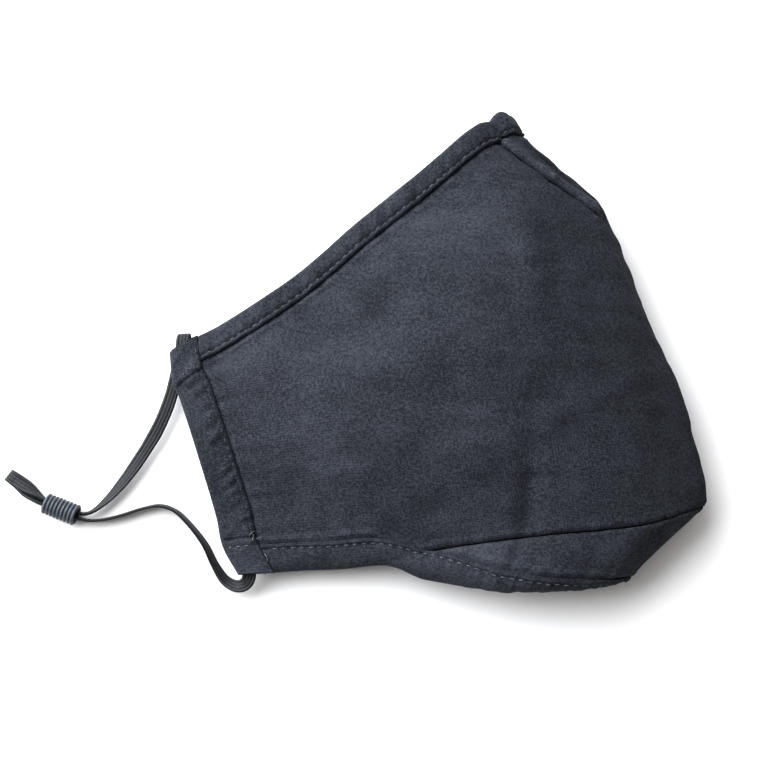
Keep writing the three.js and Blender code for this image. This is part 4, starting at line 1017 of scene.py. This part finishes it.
def build_elastic(name, rows, material, ribs, steps=14, sides=52):
    """A ribbed ribbon carried round a loop: its section is a flat rounded bar, x along the width and y through it,
    and y is cut by grooves between the ribs that run along it. It may sway a little in width."""
    centres, heading, tilt, pinch = loop_path(rows, steps)
    ahead = np.roll(centres, -1, axis=0) - np.roll(centres, 1, axis=0)
    ahead /= np.linalg.norm(ahead, axis=1, keepdims=True)
    heading, tilt = np.radians(heading), np.radians(tilt)
    wide = np.stack([np.cos(heading) * np.cos(tilt), np.sin(heading) * np.cos(tilt), np.sin(tilt)], -1)
    wide -= ahead * (wide * ahead).sum(1, keepdims=True)
    wide /= np.linalg.norm(wide, axis=1, keepdims=True)
    thick = np.cross(ahead, wide)
    run = np.concatenate([[0], np.cumsum(span(centres[1:], centres[:-1]))])
    sway = 1 + 0.025 * wander(17, run, 51)
    half_width = mix(ELASTIC_WIDTH, PINCHED_WIDTH, pinch)[:, None] / 2 * sway[:, None]
    half_thick = mix(ELASTIC_THICK, PINCHED_THICK, pinch)[:, None] / 2
    angle = 2 * np.pi * (np.arange(sides) + 0.5) / sides
    x = np.sign(np.cos(angle)) * np.abs(np.cos(angle)) ** 0.8
    y = np.sign(np.sin(angle)) * np.abs(np.sin(angle)) ** 0.42
    groove = (0.5 + 0.5 * np.cos(2 * np.pi * ribs * (x + 1) / 2)) ** 1.5
    y = y * (1.02 - 0.42 * groove)
    knit = 1 + 0.05 * np.sin(2 * np.pi * run / 1.4)[:, None]
    rings = (centres[:, None] + (half_width * x)[..., None] * wide[:, None]
             + (half_thick * knit * y)[..., None] * thick[:, None])
    rings[..., 2] = np.maximum(rings[..., 2], 0)
    uv = np.stack(np.broadcast_arrays(10.0 * np.arange(sides)[None, :] / sides, run[:, None]), -1)
    # Painted highlight along the tops of the ribs; the grooves keep the elastic's own black.
    tone = np.broadcast_to((1 - groove) ** 2.5 * (np.abs(y) > 0.5), rings.shape[:2])
    loop = rings_piece(name, rings, material, True, uv, tone)
    return loop, np.concatenate([centres, centres[:1]]) * MM


# ---------------------------------------------------------------- cord locks

LOCKS = {"left": ((-117.0, -50.7, 3.5), 158.7), "right": ((-3.0, -37.0, 4.8), 0.0)}  # middle, and heading of the axis
LOCK_LENGTH, LOCK_RADIUS, LOCK_BORE = 10.8, 3.4, 2.35


def build_lock(name, place, material, ribs, groove):
    """A ribbed tube turned round its axis: the outside is the radius less a groove between each two ribs, with
    rounded ends, and the bore runs straight through."""
    (x, y, z), axis = place
    half = LOCK_LENGTH / 2
    s = np.linspace(1, -1, 91)
    cut = (0.5 + 0.5 * np.cos(np.pi * ribs * (s + 1))) ** 1.6
    cut = np.where(np.abs(s) > 1 - 0.6 / ribs, 0, cut)
    outside = LOCK_RADIUS - groove * cut - 0.6 * smooth(0.93, 1.0, np.abs(s)) ** 1.5
    bore_s = np.linspace(-1, 1, 9)
    bore = LOCK_BORE + 0.35 * smooth(0.9, 1.0, np.abs(bore_s))
    along, radius = np.concatenate([s, bore_s]) * half, np.concatenate([outside, bore])
    round_ = np.linspace(0, 2 * np.pi, 72, endpoint=False)[:, None]
    a = np.radians(axis)
    axis_way, side = np.array([np.cos(a), np.sin(a), 0]), np.array([-np.sin(a), np.cos(a), 0])
    up = np.array([0, 0, 1.0])
    rings = (np.array([x, y, z]) + along[None, :, None] * axis_way
             + (radius * np.cos(round_))[..., None] * side + (radius * np.sin(round_))[..., None] * up)
    return rings_piece(name, rings, material, True)


# ---------------------------------------------------------------- settings that a user would change


class FaceMaskSewing(bpy.types.PropertyGroup):
    """Sizes of the sewing, the elastic's ribs and the locks."""

    gathers: bpy.props.FloatProperty(
        name="Gathers", description="How strongly the seams gather the cloth", default=1.0, min=0, max=2,
        subtype="FACTOR")
    weave: bpy.props.FloatProperty(
        name="Weave", description="Spacing of the yarns in the cotton", default=0.0008, min=0.0002, max=0.003,
        unit="LENGTH", precision=5)
    stitch_length: bpy.props.FloatProperty(
        name="Stitch Length", description="Length of a stitch that shows", default=0.0022, min=0.001, max=0.005,
        unit="LENGTH", precision=5)
    stitch_gap: bpy.props.FloatProperty(
        name="Stitch Gap", description="Gap between two stitches", default=0.0006, min=0.0001, max=0.003,
        unit="LENGTH", precision=5)
    thread_radius: bpy.props.FloatProperty(
        name="Thread Radius", description="Radius of the sewing thread", default=0.00017, min=0.00005, max=0.0005,
        unit="LENGTH", precision=5)
    elastic_ribs: bpy.props.IntProperty(
        name="Elastic Ribs", description="Lengthwise ribs on a face of the elastic", default=4, min=2, max=6)
    lock_ribs: bpy.props.IntProperty(
        name="Lock Ribs", description="Ribs round a cord lock", default=9, min=5, max=14)
    lock_groove: bpy.props.FloatProperty(
        name="Lock Groove", description="Depth of the grooves between a lock's ribs", default=0.00055, min=0.0001,
        max=0.0009, unit="LENGTH", precision=5)


def colour_property(name, description, colour):
    """A colour that the user can change, whose default is a hex sRGB colour."""
    return bpy.props.FloatVectorProperty(
        name=name, description=description, default=linear(colour), size=3, min=0, max=1, subtype="COLOR")


class FaceMaskColours(bpy.types.PropertyGroup):
    """Colours of the finishes, each with a paler colour for its fibres, bloom or ply; the elastic's paler colour is
    painted highlight on its ribs.
    """

    cotton: colour_property("Cotton", "Charcoal cotton", "#282b30")
    cotton_light: colour_property("Cotton Fibres", "Paler yarns of the cotton", "#454850")
    elastic: colour_property("Elastic", "Covered elastic", "#07080a")
    # The elastic's paler colour is its yarns and the painted highlight on its ribs.
    elastic_light: colour_property("Elastic Yarns", "Paler yarns of the elastic", "#454a53")
    silicone: colour_property("Silicone", "Grey silicone of the locks", "#474d53")
    silicone_light: colour_property("Silicone Bloom", "Pale bloom on the locks", "#5b6268")
    thread: colour_property("Thread", "Sewing thread of the bands", "#3a3e45")
    thread_light: colour_property("Thread Highlights", "Paler ply of the bands' thread", "#6d737b")
    casing_thread: colour_property("Casing Thread", "Sewing thread of the casings", "#191b20")
    casing_thread_light: colour_property("Casing Thread Highlights", "Paler ply of the casings' thread", "#363a41")
    board: colour_property("Board", "White board under the mask", "#f4f5f7")


class FaceMaskStudio(bpy.types.PropertyGroup):
    """Camera and lights."""

    elevation: bpy.props.FloatProperty(
        name="Camera Elevation", description="Angle of the camera above the board", default=float(np.radians(80)),
        min=0.1, max=1.57, subtype="ANGLE")
    distance: bpy.props.FloatProperty(
        name="Camera Distance", description="Distance of the camera from the mask", default=0.42, min=0.1, max=3,
        unit="LENGTH")
    lens: bpy.props.FloatProperty(
        name="Lens", description="Focal length of the camera", default=62.5, min=20, max=200, unit="CAMERA")
    key_power: bpy.props.FloatProperty(
        name="Key Power", description="Power of the large light at the upper left", default=12.0, min=0, max=100,
        unit="POWER")
    top_power: bpy.props.FloatProperty(
        name="Top Power", description="Power of the light overhead", default=3.5, min=0, max=100, unit="POWER")
    fill: bpy.props.FloatProperty(
        name="Fill", description="Strength of the even light from all round", default=0.26, min=0, max=3)


# ---------------------------------------------------------------- operators

made = {"bands": [], "casings": [], "sewing": []}


class MaskStep(bpy.types.Operator):
    """A step of the build that raises an error if it can't finish."""

    bl_options = {"REGISTER", "UNDO"}

    def settings(self, context):
        """The three groups of settings, in the order sewing, colours, studio."""
        scene = context.scene
        return scene.face_mask_sewing, scene.face_mask_colours, scene.face_mask_studio

    def finish(self, piece, slot, *nodes):
        """Puts a piece on the mask's body, in place of the nodes that it stands for. Its slot is not used."""
        if piece is None or not len(piece.data.polygons):
            raise RuntimeError(self.bl_label + " made an empty piece")
        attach(piece, "root")
        if nodes:
            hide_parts(*nodes)
        return piece


class FACEMASK_OT_studio(MaskStep):
    """Sets up the white board, the lights, the sky and the camera"""

    bl_idname = "facemask.studio"
    bl_label = "Build Studio"

    def execute(self, context):
        _, colours, studio = self.settings(context)
        scene = context.scene
        scene.view_settings.view_transform = "Standard"
        scene.view_settings.look = "High Contrast"
        target = Vector((-15.4, -11.8, 10.0)) * MM
        camera = bpy.data.objects.new("camera", bpy.data.cameras.new("camera"))
        away = Vector((0, -np.cos(studio.elevation), np.sin(studio.elevation)))
        camera.location = target + away * studio.distance
        camera.rotation_euler = away.to_track_quat("Z", "Y").to_euler()
        camera.data.lens, camera.data.sensor_width, camera.data.clip_start = studio.lens, 36, 0.01
        scene.collection.objects.link(camera)
        scene.camera = camera
        board = new_piece("board", np.array([[-2e3, -2e3, 0], [2e3, -2e3, 0], [2e3, 2e3, 0], [-2e3, 2e3, 0]]),
                          [np.array([[0, 1, 2, 3]])], painted_board("Matt White Board", colours.board))
        board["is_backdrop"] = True
        for name, place, size, power, tint in (
            ("key light", (-470, 300, 410), 1.1, studio.key_power, (0.98, 0.99, 1)),
            ("top light", (-250, 300, 900), 1.2, studio.top_power, (0.97, 0.985, 1)),
        ):
            light = bpy.data.objects.new(name, bpy.data.lights.new(name, "AREA"))
            light.data.shape, light.data.size, light.data.energy, light.data.color = "DISK", size, power, tint
            light.location = Vector(place) * MM
            light.rotation_euler = (light.location - target).to_track_quat("Z", "Y").to_euler()
            scene.collection.objects.link(light)
        world = bpy.data.worlds.new("even light")
        world.use_nodes = True
        world.node_tree.nodes["Background"].inputs["Color"].default_value = (1.0, 0.95, 0.89, 1)
        world.node_tree.nodes["Background"].inputs["Strength"].default_value = studio.fill
        scene.world = world
        return {"FINISHED"}


class FACEMASK_OT_ear_loops(MaskStep):
    """Builds both elastic ear loops and the cord locks that slide on them"""

    bl_idname = "facemask.ear_loops"
    bl_label = "Build Ear Loops"

    def execute(self, context):
        sewing, colours, _ = self.settings(context)
        elastic = knitted_elastic("Covered Knitted Elastic", colours.elastic, colours.elastic_light)
        silicone = soft_silicone("Moulded Grey Silicone", colours.silicone, colours.silicone_light)
        for side, rows in (("left", LEFT_ELASTIC), ("right", RIGHT_ELASTIC)):
            loop, path = build_elastic("ear_loop_" + side, rows, elastic, sewing.elastic_ribs)
            self.finish(loop, "elastic", "ear_elastic_" + side)
            lock = build_lock("lock_" + side, LOCKS[side], silicone, sewing.lock_ribs, sewing.lock_groove * 1000)
            self.finish(lock, "lock", "cord_lock_" + side)
            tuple(EXITS[side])
        return {"FINISHED"}


class FACEMASK_OT_bands(MaskStep):
    """Builds the folded bands along the top edge and the hem"""

    bl_idname = "facemask.bands"
    bl_label = "Build Bands"

    def execute(self, context):
        sewing, _, _ = self.settings(context)
        cotton = bpy.data.materials[COTTON]
        for name, at, reverse, seed in (
            ("top_band", top_band_at, False, TOP_SEED), ("bottom_band", hem_band_at, True, HEM_SEED),
        ):
            band = build_band(name + "_cloth", at, reverse, cotton, sewing.gathers, seed)
            made["bands"].append(self.finish(band, "mask_cloth", name))
        return {"FINISHED"}


class FACEMASK_OT_casings(MaskStep):
    """Builds the ear casings that the elastic runs through"""

    bl_idname = "facemask.casings"
    bl_label = "Build Casings"

    def execute(self, context):
        sewing, _, _ = self.settings(context)
        cotton = bpy.data.materials[COTTON]
        for name, half in (("left", 1), ("right", -1)):
            casing = build_casing("casing_" + name, half, cotton, sewing.gathers, CASING_SEED)
            made["casings"].append(self.finish(casing, "mask_cloth", "ear_casing_" + name))
        return {"FINISHED"}


class FACEMASK_OT_sewing(MaskStep):
    """Sews the bands and the casings with rows of stitches"""

    bl_idname = "facemask.sewing"
    bl_label = "Build Sewing"

    def execute(self, context):
        sewing, colours, _ = self.settings(context)
        thread = spun_thread("Spun Polyester Thread", colours.thread, colours.thread_light)
        worn = spun_thread("Charcoal Polyester Thread", colours.casing_thread, colours.casing_thread_light)
        bands, casings = strip_stitches(sewing)
        radius = sewing.thread_radius * 1000
        for name, paths, finish in (
            ("band_stitches", bands, thread), ("casing_stitches", casings, worn),
            ("thread_ends", thread_ends(sewing.gathers), thread),
        ):
            made["sewing"].append(self.finish(threads_piece(name, paths, radius, finish), "mask_cloth"))
        return {"FINISHED"}


class FACEMASK_OT_cloth(MaskStep):
    """Builds the main cloth and the chin piece"""

    bl_idname = "facemask.cloth"
    bl_label = "Build Cloth"

    def execute(self, context):
        sewing, _, _ = self.settings(context)
        cotton = bpy.data.materials[COTTON]
        front = self.finish(build_front_panel(cotton, sewing.gathers), "mask_cloth", "front_panel")
        chin = self.finish(build_chin_panel(cotton, sewing.gathers), "mask_cloth", "chin_panel")
        return {"FINISHED"}


class FACEMASK_PT_builder(bpy.types.Panel):
    """Lists the steps and their settings"""

    bl_idname = "FACEMASK_PT_builder"
    bl_label = "Cloth Face Mask"
    bl_space_type = "VIEW_3D"
    bl_region_type = "UI"
    bl_category = "Face Mask"

    def draw(self, context):
        layout, scene = self.layout, context.scene
        for step in STEPS:
            layout.operator(step.bl_idname)
        for group in (scene.face_mask_sewing, scene.face_mask_colours, scene.face_mask_studio):
            column = layout.column(align=True)
            for key in group.__annotations__:
                column.prop(group, key)


STEPS = (FACEMASK_OT_studio, FACEMASK_OT_ear_loops, FACEMASK_OT_bands, FACEMASK_OT_casings, FACEMASK_OT_sewing,
         FACEMASK_OT_cloth)
GROUPS = {"face_mask_sewing": FaceMaskSewing, "face_mask_colours": FaceMaskColours, "face_mask_studio": FaceMaskStudio}


def register():
    """Registers the classes and hangs each group of settings on the scene."""
    for group in (*GROUPS.values(), *STEPS, FACEMASK_PT_builder):
        bpy.utils.register_class(group)
    for key, group in GROUPS.items():
        setattr(bpy.types.Scene, key, bpy.props.PointerProperty(type=group))


def unregister():
    """Undoes register."""
    for key in GROUPS:
        delattr(bpy.types.Scene, key)
    for group in reversed((*GROUPS.values(), *STEPS, FACEMASK_PT_builder)):
        bpy.utils.unregister_class(group)


def main():
    """Builds the whole mask."""
    register()
    scene = bpy.context.scene
    colours, sewing = scene.face_mask_colours, scene.face_mask_sewing
    cotton_poplin(COTTON, colours.cotton, colours.cotton_light, sewing.weave * 1000)
    for step in ("studio", "ear_loops", "bands", "casings", "sewing", "cloth"):
        getattr(bpy.ops.facemask, step)()
    {"cad": plain(CAD_BOX), "visual": plain(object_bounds())}


def plain(box):
    """A box as plain lists of numbers."""
    return [[float(c) for c in corner] for corner in box]


if __name__ == "__main__":
    main()
